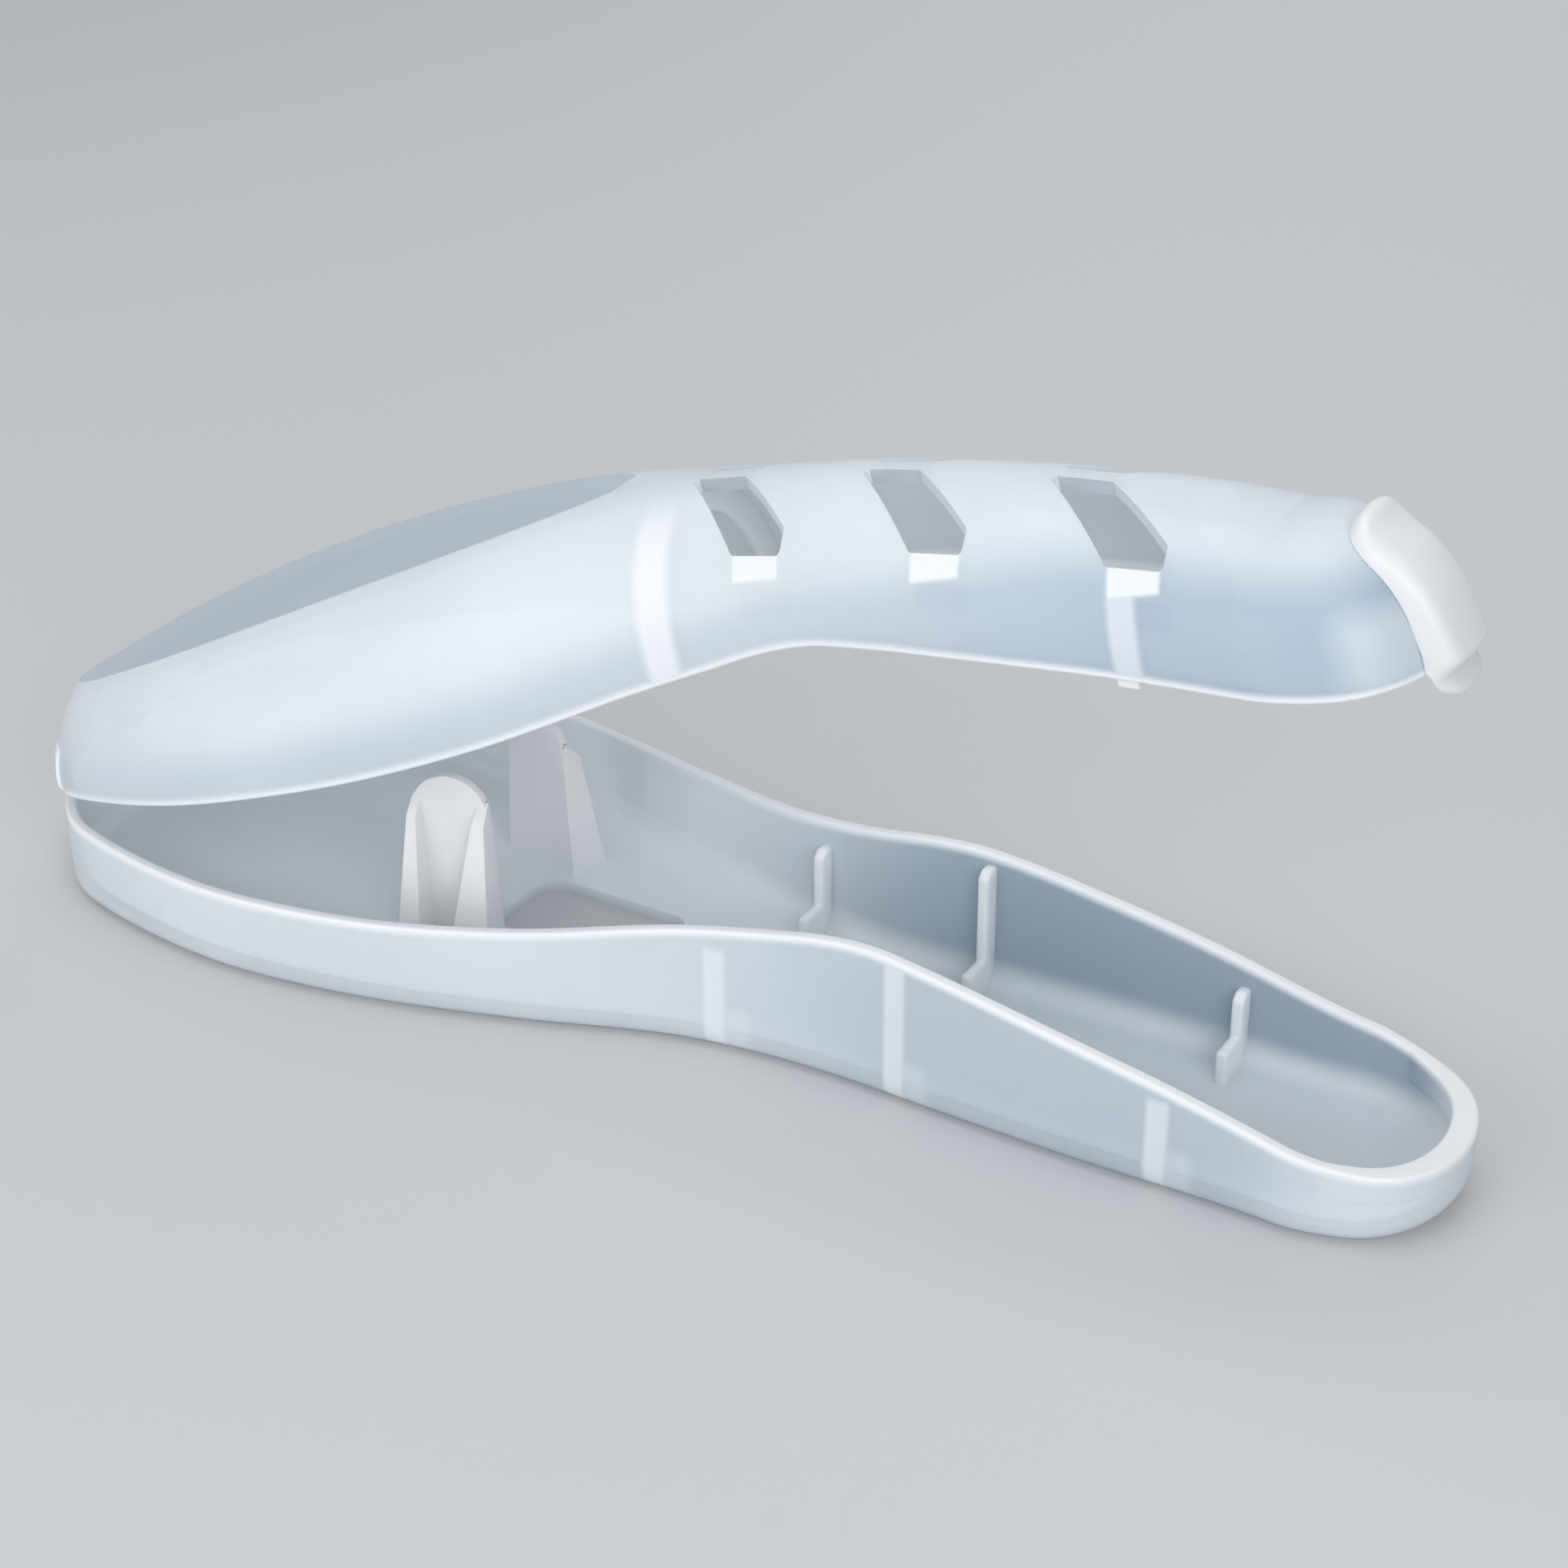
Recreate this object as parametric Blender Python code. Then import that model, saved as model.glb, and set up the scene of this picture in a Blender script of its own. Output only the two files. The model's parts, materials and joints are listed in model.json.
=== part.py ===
"""Travel case: an open tray, a domed lid on a film hinge and a snap tongue.

Units are metres, +Z is up. The case lies along X with the hinge end at -X, and Y = 0 is its
mirror plane. Lengths along the case are measured from the hinge end, or back from the tail
end where the name says so. The lid is drawn shut and its pivot empty turns it open.
"""
import math

import bmesh
import bpy
import numpy as np
from mathutils import Matrix, Vector

# Overall sizes
CASE_LENGTH = 0.185
HEAD_CORNER = 0.0125
TAIL_ROUND = 0.0162
TAIL_POWER = 1.7
OPEN_ANGLE = 17.75

# Walls and running gaps
TRAY_WALL = 0.0015
TRAY_FLOOR = 0.0015
LID_WALL = 0.0015
FOOT_FILLET = 0.0028
FOOT_FILLET_TAIL = 0.0042
FOOT_FILLET_BLEND = 0.0080
INNER_FILLET = 0.0014
SEAM_GAP = 0.0003
SEAT_GAP = 0.0003

# Half width of the plan, from the hinge end and then back from the tail end
PLAN_HEAD = ((0.0, 0.0208), (0.005, 0.0241), (0.010, 0.0265), (0.015, 0.0281), (0.024, 0.0299),
             (0.035, 0.0308), (0.050, 0.0293), (0.060, 0.0271), (0.075, 0.0225))
PLAN_TAIL = ((0.090, 0.0156), (0.082, 0.0143), (0.072, 0.0137), (0.058, 0.0141), (0.043, 0.0144),
             (0.016, 0.0143), (0.009, 0.0149), (0.004, 0.0163), (0.0, 0.0178))

# Height of the seam between tray and lid, above the surface that the case stands on
SEAM_HEAD = ((0.0, 0.0127), (0.006, 0.0120), (0.020, 0.0116), (0.045, 0.0117), (0.060, 0.0121),
             (0.075, 0.0133))
SEAM_TAIL = ((0.090, 0.0164), (0.080, 0.0181), (0.073, 0.0194), (0.067, 0.0199), (0.060, 0.0193),
             (0.050, 0.0178), (0.035, 0.0152), (0.015, 0.0109), (0.008, 0.0097), (0.0, 0.0091))

# Height of the lid's ridge before the sloping facet is cut
RIDGE_HEAD = ((0.0, 0.0295), (0.027, 0.0316), (0.050, 0.0341), (0.075, 0.0361))
RIDGE_TAIL = ((0.092, 0.0365), (0.080, 0.0362), (0.065, 0.0357), (0.050, 0.0341), (0.035, 0.0318),
              (0.023, 0.0289), (0.013, 0.0258), (0.005, 0.0244))

# Power of the cross-section along the case: 2 is an ellipse, more is squarer. The tail has its own.
SECTION_POWER = 2.4
SECTION_STATIONS = ((0.008, 1.85), (0.030, 2.40), (0.094, 2.40), (0.116, 1.95), (0.150, 1.95), (0.168, 2.40))
SPINE_HEAD = 0.020
SPINE_TAIL = 0.014
FACET_HEIGHT = 0.0218
FACET_SLOPE = 0.196
FACET_SAG = 0.370
FACET_REACH = 0.098

# Film hinge
HINGE_HEIGHT = 0.0127
FILM_RADIUS = 0.00035
FILM_HALF = 0.0078
LEAF_PROUD = 0.0004
LEAF_SINK = 0.0005
LEAF_REACH = 0.0095
LEAF_HEIGHT = 0.0050

# Drain window in the floor
DRAIN_FROM = 0.060
DRAIN_LENGTH = 0.022
DRAIN_HALF = 0.0065
DRAIN_CORNER = 0.003

# Retaining posts, mirrored U channels whose plates face each other
POST_FROM = 0.0524
POST_HALF_SPAN = 0.0099
POST_TOE_IN = 12.2
POST_WIDTH = 0.0100
POST_HEIGHT = 0.0233
POST_PLATE = 0.0012
POST_FLANGE = 0.0012
POST_FLANGE_TOP = 0.0196
POST_FLANGE_DROP = 0.0010
POST_FLANGE_OUT = 0.0046
POST_FLANGE_FOOT = 0.0100

# Cradle ribs of the tray: distance back from the tail end, height of the top
CRADLES = ((0.0879, 0.0133), (0.0646, 0.0181), (0.0318, 0.0114))
CRADLE_THICK = 0.0015
CRADLE_DEPTH = 0.0022
CRADLE_CHAMFER = 0.0010
CRADLE_FOOT_HIGH = 0.0042
CRADLE_FOOT_REACH = 0.0060

# Vent slots of the lid, in pairs beside a narrow spine, and the sills under them
VENT_COUNT = 3
VENT_BACK = 0.0399
VENT_PITCH = 0.0226
VENT_SPINE_HALF = 0.0012
VENT_WIDE = 0.0065
VENT_TOP_WIDE = 0.0075
VENT_OUT = 0.0107
VENT_SWEEP = 0.0097
VENT_NOSE = 0.0020
VENT_CORNER = 0.0006
SILL_LENGTH = 0.0062
SILL_THICK = 0.0010
SILL_TALL = 0.0030

# Lid arch in front of the vents and the locating tabs behind them
ARCH_BACK = 0.0870
ARCH_THICK = 0.0016
ARCH_DEPTH = 0.0034
TAB_BACK = 0.0300
TAB_THICK = 0.0018
TAB_DEPTH = 0.0020
TAB_TOP = 0.0166
TAB_BELOW = 0.0016

# Tail catch and snap tongue
CATCH_HALF = 0.0052
CATCH_INSIDE = 0.0034
CATCH_PROUD = 0.0002
CATCH_CHAMFER = 0.0005
CATCH_TALL = 0.0032
TONGUE_HALF = 0.0055
TONGUE_ROUND = 0.0038
TONGUE_ROOT_BACK = 0.0068
TONGUE_BELOW = 0.0037
TONGUE_GAP = 0.00035
TONGUE_SLOT = 0.0003

# How far the tongue stands out from the lid: from its lip up to its root
TONGUE_OUT = (0.0027, 0.0025, 0.0021, 0.0017, 0.0012, 0.0013, 0.0012, 0.0011, 0.0010)
SLOT_STEP = 4
# The same below the lip, with the height from the seam: toe, lobe, neck and lip
TONGUE_END = ((0.0012, -0.0037), (0.0015, -0.0032), (0.0016, -0.0020), (0.0014, -0.0009))
TONGUE_LIP = ((0.0028, 0.0009), (0.0027, 0.0024))

# Mesh fineness
CORNER_STEPS = 6
SIDE_STEP = 0.0062
TAIL_STEPS = 7
DOME_STEPS = 8
FILLET_STEPS = 3

PLASTIC = (0.80, 0.85, 0.90)
RIB_PLASTIC = (0.86, 0.90, 0.94)
LATCH_PLASTIC = (0.92, 0.94, 0.96)

# Smooth curves through the stations


def stations(head, tail):
    """One list of (distance from the hinge end, value)."""
    return [point for point in head] + [(CASE_LENGTH - back, value) for back, value in tail]


def smooth(points, x):
    """Cubic through the points with slopes taken from their neighbours, level past the ends."""
    xs = np.array([p[0] for p in points])
    ys = np.array([p[1] for p in points])
    slopes = np.gradient(ys, xs)
    x = np.clip(x, xs[0], xs[-1])
    i = np.clip(np.searchsorted(xs, x) - 1, 0, len(xs) - 2)
    step = xs[i + 1] - xs[i]
    t = (x - xs[i]) / step
    return (ys[i] * (1 + 2 * t) * (1 - t) ** 2 + ys[i + 1] * t * t * (3 - 2 * t)
            + step * t * (1 - t) * (slopes[i] * (1 - t) - slopes[i + 1] * t))


def seam_height(x):
    return smooth(stations(SEAM_HEAD, SEAM_TAIL), x)


def ridge_height(x):
    return smooth(stations(RIDGE_HEAD, RIDGE_TAIL), x)


def section_power(x):
    return np.interp(x, [p[0] for p in SECTION_STATIONS], [p[1] for p in SECTION_STATIONS])


def half_width(x):
    """Half width of the outline, with the hinge corners and the round tail taken off."""
    x = np.asarray(x, float)
    width = smooth(stations(PLAN_HEAD, PLAN_TAIL), x)
    run = np.clip(HEAD_CORNER - x, 0, HEAD_CORNER)
    width = width - HEAD_CORNER + np.sqrt(HEAD_CORNER ** 2 - run ** 2)
    s = np.clip((x - CASE_LENGTH + TAIL_ROUND) / TAIL_ROUND, 0, 1)
    return width * np.sqrt(np.clip(1 - s ** TAIL_POWER, 0, 1))


def outline():
    """Closed outline of the case as points and outward normals, seen from above."""
    turn = np.linspace(0, math.pi / 2, CORNER_STEPS + 1)
    corner = HEAD_CORNER * (1 - np.cos(turn))
    count = max(2, round((CASE_LENGTH - TAIL_ROUND - HEAD_CORNER) / SIDE_STEP))
    side = np.linspace(HEAD_CORNER, CASE_LENGTH - TAIL_ROUND, count + 1)[1:]
    turn = np.linspace(0, math.pi / 2, TAIL_STEPS + 1)[1:]
    tail = CASE_LENGTH - TAIL_ROUND + TAIL_ROUND * np.sin(turn) ** (2 / TAIL_POWER)
    xs = np.concatenate([corner, side, tail])
    near = np.stack([xs, -half_width(xs)], 1)
    near[-1, 1] = 0
    far = near[-2::-1] * (1, -1)
    edge = np.array([(0, 0.5), (0, 0), (0, -0.5)]) * (0, near[0, 1] * -1)
    points = np.concatenate([near, far, edge])
    along = np.roll(points, -1, 0) - np.roll(points, 1, 0)
    normals = np.stack([along[:, 1], -along[:, 0]], 1)
    return points, normals / np.linalg.norm(normals, axis=1)[:, None]


POINTS, NORMALS = outline()
SEAM = seam_height(POINTS[:, 0])


def ring(inset, height):
    """The outline drawn inwards by inset, at a height. Both can be one value or one for each point."""
    plan = POINTS - NORMALS * np.broadcast_to(inset, len(POINTS))[:, None]
    return np.column_stack([plan, np.broadcast_to(height, len(plan))])


def dome_rings(inset, foot=None):
    """Rings of the lid's dome, from the seam to the spine line where both sides meet.

    The inset is one value, or one for each ring.
    """
    rings = [] if foot is None else list(foot)
    spine = np.clip(POINTS[:, 0], SPINE_HEAD, CASE_LENGTH - SPINE_TAIL)
    centre = np.column_stack([spine, np.zeros(len(spine))])
    power = section_power(POINTS[:, 0])
    for step, depth in enumerate(np.broadcast_to(inset, DOME_STEPS + 1)):
        plan = POINTS - NORMALS * depth
        rise = ridge_height(spine) - depth - SEAM
        angle = math.pi / 2 * step / DOME_STEPS
        out = math.cos(angle) ** (2 / power) if step < DOME_STEPS else power * 0
        up = math.sin(angle) ** (2 / power)
        lift = SEAM_GAP / 2 if step == 0 else 0
        rings.append(np.column_stack([centre + (plan - centre) * out[:, None], SEAM + rise * up + lift]))
    return rings


def tray_rings(inset, floor, fillet, top):
    """Rings of the tray, from its flat bottom round the fillet and up to the given top.

    The fillet grows towards the tail.
    """
    rings = []
    start = CASE_LENGTH - FOOT_FILLET_BLEND
    fillet = np.interp(POINTS[:, 0], (start, CASE_LENGTH), (fillet, fillet + FOOT_FILLET_TAIL - FOOT_FILLET))
    for step in range(FILLET_STEPS + 1):
        angle = math.pi / 2 * step / FILLET_STEPS
        rings.append(ring(inset + fillet * (1 - math.sin(angle)), floor + fillet * (1 - math.cos(angle))))
    rings.append(ring(inset, top))
    return rings


# Object helpers

for old in list(bpy.data.objects):
    bpy.data.objects.remove(old, do_unlink=True)
parts = bpy.data.collections.new("razor_case")
cutters = bpy.data.collections.new("cutters")
for group in (parts, cutters):
    bpy.context.scene.collection.children.link(group)


def plastic(name, colour, roughness):
    made = bpy.data.materials.new(name)
    made.use_nodes = True
    shader = made.node_tree.nodes["Principled BSDF"]
    shader.inputs["Base Color"].default_value = (*colour, 1)
    shader.inputs["Roughness"].default_value = roughness
    shader.inputs["Metallic"].default_value = 0
    return made


def add_object(name, mesh, parent, colour=None, roughness=0.45):
    """Links a mesh as a part with its own material, or as a cutter when it has no colour."""
    thing = bpy.data.objects.new(name, mesh)
    thing.parent = parent
    if colour is None:
        cutters.objects.link(thing)
        thing.hide_render = True
        thing.display_type = "WIRE"
    else:
        parts.objects.link(thing)
        mesh.materials.clear()
        mesh.materials.append(plastic(name, colour, roughness))
    return thing


def finish_mesh(bm, name, smooth_angle=35):
    bmesh.ops.remove_doubles(bm, verts=bm.verts, dist=0.000001)
    bmesh.ops.recalc_face_normals(bm, faces=bm.faces)
    mesh = bpy.data.meshes.new(name)
    bm.to_mesh(mesh)
    bm.free()
    mesh.shade_smooth()
    mesh.set_sharp_from_angle(angle=math.radians(smooth_angle))
    return mesh


def cap(bm, row):
    """Closes a ring with strips straight across the case, so that a wavy rim stays true."""
    last = len(row) - 4
    tip = last // 2
    bm.faces.new([row[1], row[last - 1], *row[last:], row[0]])
    for i in range(1, tip - 1):
        bm.faces.new((row[i], row[i + 1], row[last - i - 1], row[last - i]))
    bm.faces.new((row[tip - 1], row[tip], row[tip + 1]))


def loft(name, rings):
    """Closed skin through rings of equal count. A last ring drawn to a line closes itself."""
    bm = bmesh.new()
    rows = [[bm.verts.new(p) for p in row] for row in rings]
    count = len(rows[0])
    for low, high in zip(rows, rows[1:]):
        for i in range(count):
            j = (i + 1) % count
            bm.faces.new((low[i], low[j], high[j], high[i]))
    cap(bm, rows[0])
    if abs(rings[-1][:, 1]).max() > 0.0001:
        cap(bm, rows[-1])
    bmesh.ops.remove_doubles(bm, verts=bm.verts, dist=0.000001)
    bmesh.ops.triangulate(bm, faces=bm.faces)
    return finish_mesh(bm, name)


def prism(name, points, axis, low, high):
    """Outline in the plane across an axis, extruded from low to high along that axis."""
    turn = "XYZ".index(axis)

    def place(a, b, along):
        point = [a, b]
        point.insert(turn, along)
        return point

    bm = bmesh.new()
    face = bm.faces.new([bm.verts.new(place(a, b, low)) for a, b in points])
    moved = bmesh.ops.extrude_face_region(bm, geom=[face])["geom"]
    shift = Vector(place(0, 0, high - low))
    bmesh.ops.translate(bm, vec=shift, verts=[v for v in moved if isinstance(v, bmesh.types.BMVert)])
    return finish_mesh(bm, name)


def box(name, low, high):
    bm = bmesh.new()
    bmesh.ops.create_cube(bm, size=1)
    size = [b - a for a, b in zip(low, high)]
    middle = [(a + b) / 2 for a, b in zip(low, high)]
    bmesh.ops.scale(bm, vec=size, verts=bm.verts)
    bmesh.ops.translate(bm, vec=middle, verts=bm.verts)
    return finish_mesh(bm, name)


def rounded(points, radius, steps=3):
    """The same polygon with each corner replaced by a short arc."""
    made = []
    for i, point in enumerate(points):
        corner = Vector(point)
        before = (Vector(points[i - 1]) - corner).normalized()
        after = (Vector(points[(i + 1) % len(points)]) - corner).normalized()
        half = before.angle(after) / 2
        centre = corner + (before + after).normalized() * (radius / math.sin(half))
        start = corner + before * (radius / math.tan(half)) - centre
        sweep = math.copysign(math.pi - half * 2, before.cross(after) * -1)
        for step in range(steps + 1):
            turn = sweep * step / steps
            made.append((centre.x + start.x * math.cos(turn) - start.y * math.sin(turn),
                         centre.y + start.x * math.sin(turn) + start.y * math.cos(turn)))
    return made


def cut(thing, cutter, operation="DIFFERENCE"):
    change = thing.modifiers.new(operation.lower() + "_" + cutter.name, "BOOLEAN")
    change.operation = operation
    change.object = cutter
    change.solver = "EXACT"


# Frame: the middle of the foot is the origin, the pivots carry the moving bodies

root = bpy.data.objects.new("case_frame", None)
root.location = (-CASE_LENGTH / 2, 0, 0)
hinge_setback = FILM_RADIUS + SEAT_GAP
hinge = bpy.data.objects.new("lid_pivot", None)
hinge.parent = root
hinge.location = (-hinge_setback, 0, HINGE_HEIGHT)
hinge.rotation_euler = (0, -math.radians(OPEN_ANGLE), 0)
shut = bpy.data.objects.new("lid_frame", None)
shut.parent = hinge
shut.location = (hinge_setback, 0, -HINGE_HEIGHT)
for empty in (root, hinge, shut):
    parts.objects.link(empty)

# Tray

tray_top = SEAM - SEAM_GAP / 2
tray = add_object("base_tray", loft("base_tray", tray_rings(0, 0, FOOT_FILLET, tray_top)), root, PLASTIC)
tray_room = add_object("tray_room", loft("tray_room", tray_rings(
    TRAY_WALL, TRAY_FLOOR, INNER_FILLET, SEAM + TRAY_WALL * 2)), root)
tray_seat = add_object("tray_seat", loft("tray_seat", tray_rings(
    TRAY_WALL + SEAT_GAP, TRAY_FLOOR + SEAT_GAP, INNER_FILLET, tray_top)), root)
drain = rounded([(DRAIN_FROM, -DRAIN_HALF), (DRAIN_FROM + DRAIN_LENGTH, -DRAIN_HALF),
                 (DRAIN_FROM + DRAIN_LENGTH, DRAIN_HALF), (DRAIN_FROM, DRAIN_HALF)], DRAIN_CORNER)
drain_hole = add_object("drain_hole", prism("drain_hole", drain, "Z", -TRAY_FLOOR, TRAY_FLOOR * 2), root)
cut(tray, tray_room)
cut(tray, drain_hole)

# Tail catch: a block that fills a notch in the tail wall and stands proud of it

tail_seam = float(seam_height(CASE_LENGTH))
catch_low = tail_seam - CATCH_TALL
notch = add_object("catch_notch", box(
    "catch_notch", (CASE_LENGTH - CATCH_INSIDE * 2, -CATCH_HALF - SEAT_GAP, catch_low - SEAT_GAP),
    (CASE_LENGTH + CATCH_PROUD * 2, CATCH_HALF + SEAT_GAP, tail_seam + TRAY_WALL)), root)
cut(tray, notch)
catch_out = CASE_LENGTH + CATCH_PROUD
catch_top = tail_seam - SEAM_GAP / 2
catch_profile = [
    (CASE_LENGTH - CATCH_INSIDE, catch_low), (CASE_LENGTH, catch_low), (catch_out, catch_low + CATCH_CHAMFER),
    (catch_out, catch_top - CATCH_CHAMFER), (catch_out - CATCH_CHAMFER, catch_top),
    (CASE_LENGTH - CATCH_INSIDE, catch_top)]
catch_block = prism("tail_catch", catch_profile, "Y", -CATCH_HALF, CATCH_HALF)
catch = add_object("tail_catch", catch_block, root, LATCH_PLASTIC)
catch_skin = add_object("catch_skin", loft("catch_skin", tray_rings(
    -CATCH_PROUD, 0, FOOT_FILLET, SEAM + TRAY_WALL)), root)
cut(catch, catch_skin, "INTERSECT")

# Cradle ribs: an upright on the wall and a foot on the floor, trimmed to the inside of the tray


def cradle(name, back, top, side):
    x = CASE_LENGTH - back
    wall = float(half_width(x)) - TRAY_WALL - SEAT_GAP
    low = TRAY_FLOOR
    foot = low + CRADLE_FOOT_HIGH
    inner = wall - CRADLE_DEPTH
    toe = wall - CRADLE_FOOT_REACH
    outer = wall + TRAY_WALL
    profile = [(outer, low), (toe, low), (toe, foot), (inner, foot), (inner, top - CRADLE_CHAMFER),
               (inner + CRADLE_CHAMFER, top), (outer, top)]
    profile = [(y * side, z) for y, z in profile]
    rib = prism(name, profile, "X", x - CRADLE_THICK / 2, x + CRADLE_THICK / 2)
    made = add_object(name, rib, root, RIB_PLASTIC)
    cut(made, tray_seat, "INTERSECT")


for number, (back, top) in enumerate(CRADLES, 1):
    for side, word in ((-1, "near"), (1, "far")):
        cradle(f"cradle_rib_{number}_{word}", back, top, side)

# Retaining posts: a round-topped plate with two flanges towards the wall


def post(name, side):
    low = TRAY_FLOOR + SEAT_GAP
    radius = POST_WIDTH / 2
    arc = [(radius + radius * math.cos(a), POST_HEIGHT - radius + radius * math.sin(a))
           for a in np.linspace(0, math.pi, 9)]
    plate = prism(name, [(0, low), (POST_WIDTH, low)] + arc, "Y", 0, POST_PLATE * side)
    made = add_object(name, plate, root, RIB_PLASTIC)
    made.location = (POST_FROM, POST_HALF_SPAN * side, 0)
    made.rotation_euler = (0, 0, -math.radians(POST_TOE_IN) * side)
    shoulder = POST_FLANGE_TOP - POST_FLANGE_DROP
    flange = [(POST_PLATE / 2, low), (POST_FLANGE_FOOT, low), (POST_FLANGE_OUT, shoulder),
              (POST_PLATE / 2, POST_FLANGE_TOP)]
    flange = [(out * side, z) for out, z in flange]
    for end, start in (("front", 0), ("back", POST_WIDTH - POST_FLANGE)):
        wing_name = f"{name}_{end}"
        wing = add_object(wing_name, prism(wing_name, flange, "X", start, start + POST_FLANGE), root)
        wing.location = made.location
        wing.rotation_euler = made.rotation_euler
        cut(made, wing, "UNION")


post("post_near", -1)
post("post_far", 1)

# Film hinge on the pivot line

bm = bmesh.new()
bmesh.ops.create_cone(bm, cap_ends=True, segments=12, radius1=FILM_RADIUS, radius2=FILM_RADIUS,
                      depth=FILM_HALF * 2)
film = add_object("hinge_film", finish_mesh(bm, "hinge_film"), root, PLASTIC)
film.location = hinge.location
film.rotation_euler = (math.pi / 2, 0, 0)

# Lid


def facet_cutter(name, drop):
    """Everything above the sloping facet, lowered by drop for the inside face."""
    xs = np.linspace(-HEAD_CORNER, FACET_REACH, 12)
    clipped = np.clip(xs, 0, None)
    low = FACET_HEIGHT + FACET_SLOPE * clipped - FACET_SAG * clipped ** 2 - drop
    top = float(ridge_height(FACET_REACH)) + HEAD_CORNER
    width = max(p[1] for p in PLAN_HEAD) + HEAD_CORNER
    profile = [(float(x), float(z)) for x, z in zip(xs, low)] + [(FACET_REACH, top), (-HEAD_CORNER, top)]
    return add_object(name, prism(name, profile, "Y", -width, width), shut)


def dome(name, inset, foot=None, facet=True):
    made = add_object(name, loft(name, dome_rings(inset, foot)), shut)
    if facet:
        cut(made, facet_cutter(name + "_facet", inset))
    return made


lid = add_object("lid_shell", loft("lid_shell", dome_rings(0)), shut, PLASTIC)
cut(lid, facet_cutter("lid_facet", 0))
lid_room = dome("lid_room", LID_WALL, [ring(LID_WALL, SEAM - LID_WALL * 2)])
lid_seat = dome("lid_seat", LID_WALL + SEAT_GAP, [ring(LID_WALL + SEAT_GAP, SEAM - TAB_BELOW * 3)])
cut(lid, lid_room)

# Vent slots and the sills under their outer ends


def vent_outline(x, side):
    points = [(x, VENT_SPINE_HALF), (x + VENT_TOP_WIDE, VENT_SPINE_HALF),
              (x + VENT_SWEEP + VENT_WIDE, VENT_OUT - VENT_NOSE),
              (x + VENT_SWEEP + VENT_WIDE - VENT_NOSE / 8, VENT_OUT), (x + VENT_SWEEP, VENT_OUT)]
    return [(px, py * side) for px, py in rounded(points, VENT_CORNER)]


sill_inset = LID_WALL + SEAT_GAP + SILL_THICK
sill_room = dome("sill_room", sill_inset, [ring(sill_inset, SEAM - LID_WALL)])


def sill(name, x, side):
    """Pad on the inside of the wall, just under the slot's outer edge."""
    middle = x + SILL_LENGTH / 2
    seam = float(seam_height(middle))
    wide = float(half_width(middle))
    share = (VENT_OUT + SEAT_GAP) / (wide - LID_WALL - SEAT_GAP)
    rise = float(ridge_height(middle)) - LID_WALL - SEAT_GAP - seam
    power = float(section_power(middle))
    top = seam + rise * (1 - share ** power) ** (1 / power)
    low, high = sorted((0, wide * side))
    body = box(name, (x, low, top - SILL_TALL), (x + SILL_LENGTH, high, top))
    made = add_object(name, body, shut, RIB_PLASTIC)
    cut(made, lid_seat, "INTERSECT")
    cut(made, sill_room)


for number in range(VENT_COUNT):
    x = CASE_LENGTH - VENT_BACK - VENT_PITCH * (VENT_COUNT - 1 - number)
    for side, word in ((-1, "near"), (1, "far")):
        name = f"vent_{number + 1}_{word}"
        slot = add_object(name, prism(name, vent_outline(x, side), "Z", TAB_TOP, CASE_LENGTH), shut)
        cut(lid, slot)
        sill(f"vent_sill_{number + 1}_{word}", x + VENT_SWEEP, side)

# Lid arch and locating tabs

arch_x = CASE_LENGTH - ARCH_BACK
arch_wide = float(half_width(arch_x)) * 2
arch_depth = LID_WALL + SEAT_GAP + ARCH_DEPTH
arch_room = dome("arch_room", arch_depth, [ring(arch_depth, SEAM - LID_WALL)])
arch_foot = float(seam_height(arch_x)) + SEAT_GAP
arch_block = box("lid_arch", (arch_x - ARCH_THICK / 2, -arch_wide, arch_foot),
                 (arch_x + ARCH_THICK / 2, arch_wide, CASE_LENGTH))
arch = add_object("lid_arch", arch_block, shut, RIB_PLASTIC)
cut(arch, lid_seat, "INTERSECT")
cut(arch, arch_room)

tab_x = CASE_LENGTH - TAB_BACK
tab_inset = LID_WALL + SEAT_GAP + TAB_DEPTH
tab_room = dome("tab_room", tab_inset, [ring(tab_inset, SEAM - TAB_BELOW * 4)])
for side, word in ((-1, "near"), (1, "far")):
    name = f"lid_tab_{word}"
    low, high = sorted((0, float(half_width(tab_x)) * side))
    tab_low = float(seam_height(tab_x)) - TAB_BELOW
    body = box(name, (tab_x - TAB_THICK / 2, low, tab_low), (tab_x + TAB_THICK / 2, high, TAB_TOP))
    tab = add_object(name, body, shut, RIB_PLASTIC)
    cut(tab, lid_seat, "INTERSECT")
    cut(tab, tab_room)

# Hinge leaf: a band let into the lid's hinge end, clear of the film


def leaf_block(name, room):
    """Space of the band, with room to spare on its top and end edges."""
    wide = max(p[1] for p in PLAN_HEAD) + room
    top = HINGE_HEIGHT + LEAF_HEIGHT + room
    return add_object(name, box(name, (-HEAD_CORNER, -wide, 0), (LEAF_REACH + room, wide, top)), shut)


leaf = add_object("hinge_leaf", loft("hinge_leaf", dome_rings(-LEAF_PROUD)), shut, RIB_PLASTIC)
leaf_inset = LEAF_SINK - SEAT_GAP
leaf_bed = dome("leaf_bed", LEAF_SINK, [ring(LEAF_SINK, SEAM - LID_WALL)], facet=False)
leaf_seat = dome("leaf_seat", leaf_inset, [ring(leaf_inset, SEAM - LID_WALL)], facet=False)
film_room = FILM_HALF + SEAT_GAP
film_box = add_object("film_box", box(
    "film_box", (-HEAD_CORNER, -film_room, 0), (HEAD_CORNER, film_room, HINGE_HEIGHT + hinge_setback)), shut)
recess = leaf_block("leaf_recess", SEAT_GAP)
cut(recess, leaf_bed)
cut(lid, recess)
cut(leaf, leaf_block("leaf_band", 0), "INTERSECT")
cut(leaf, leaf_seat)
cut(leaf, film_box)

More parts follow.
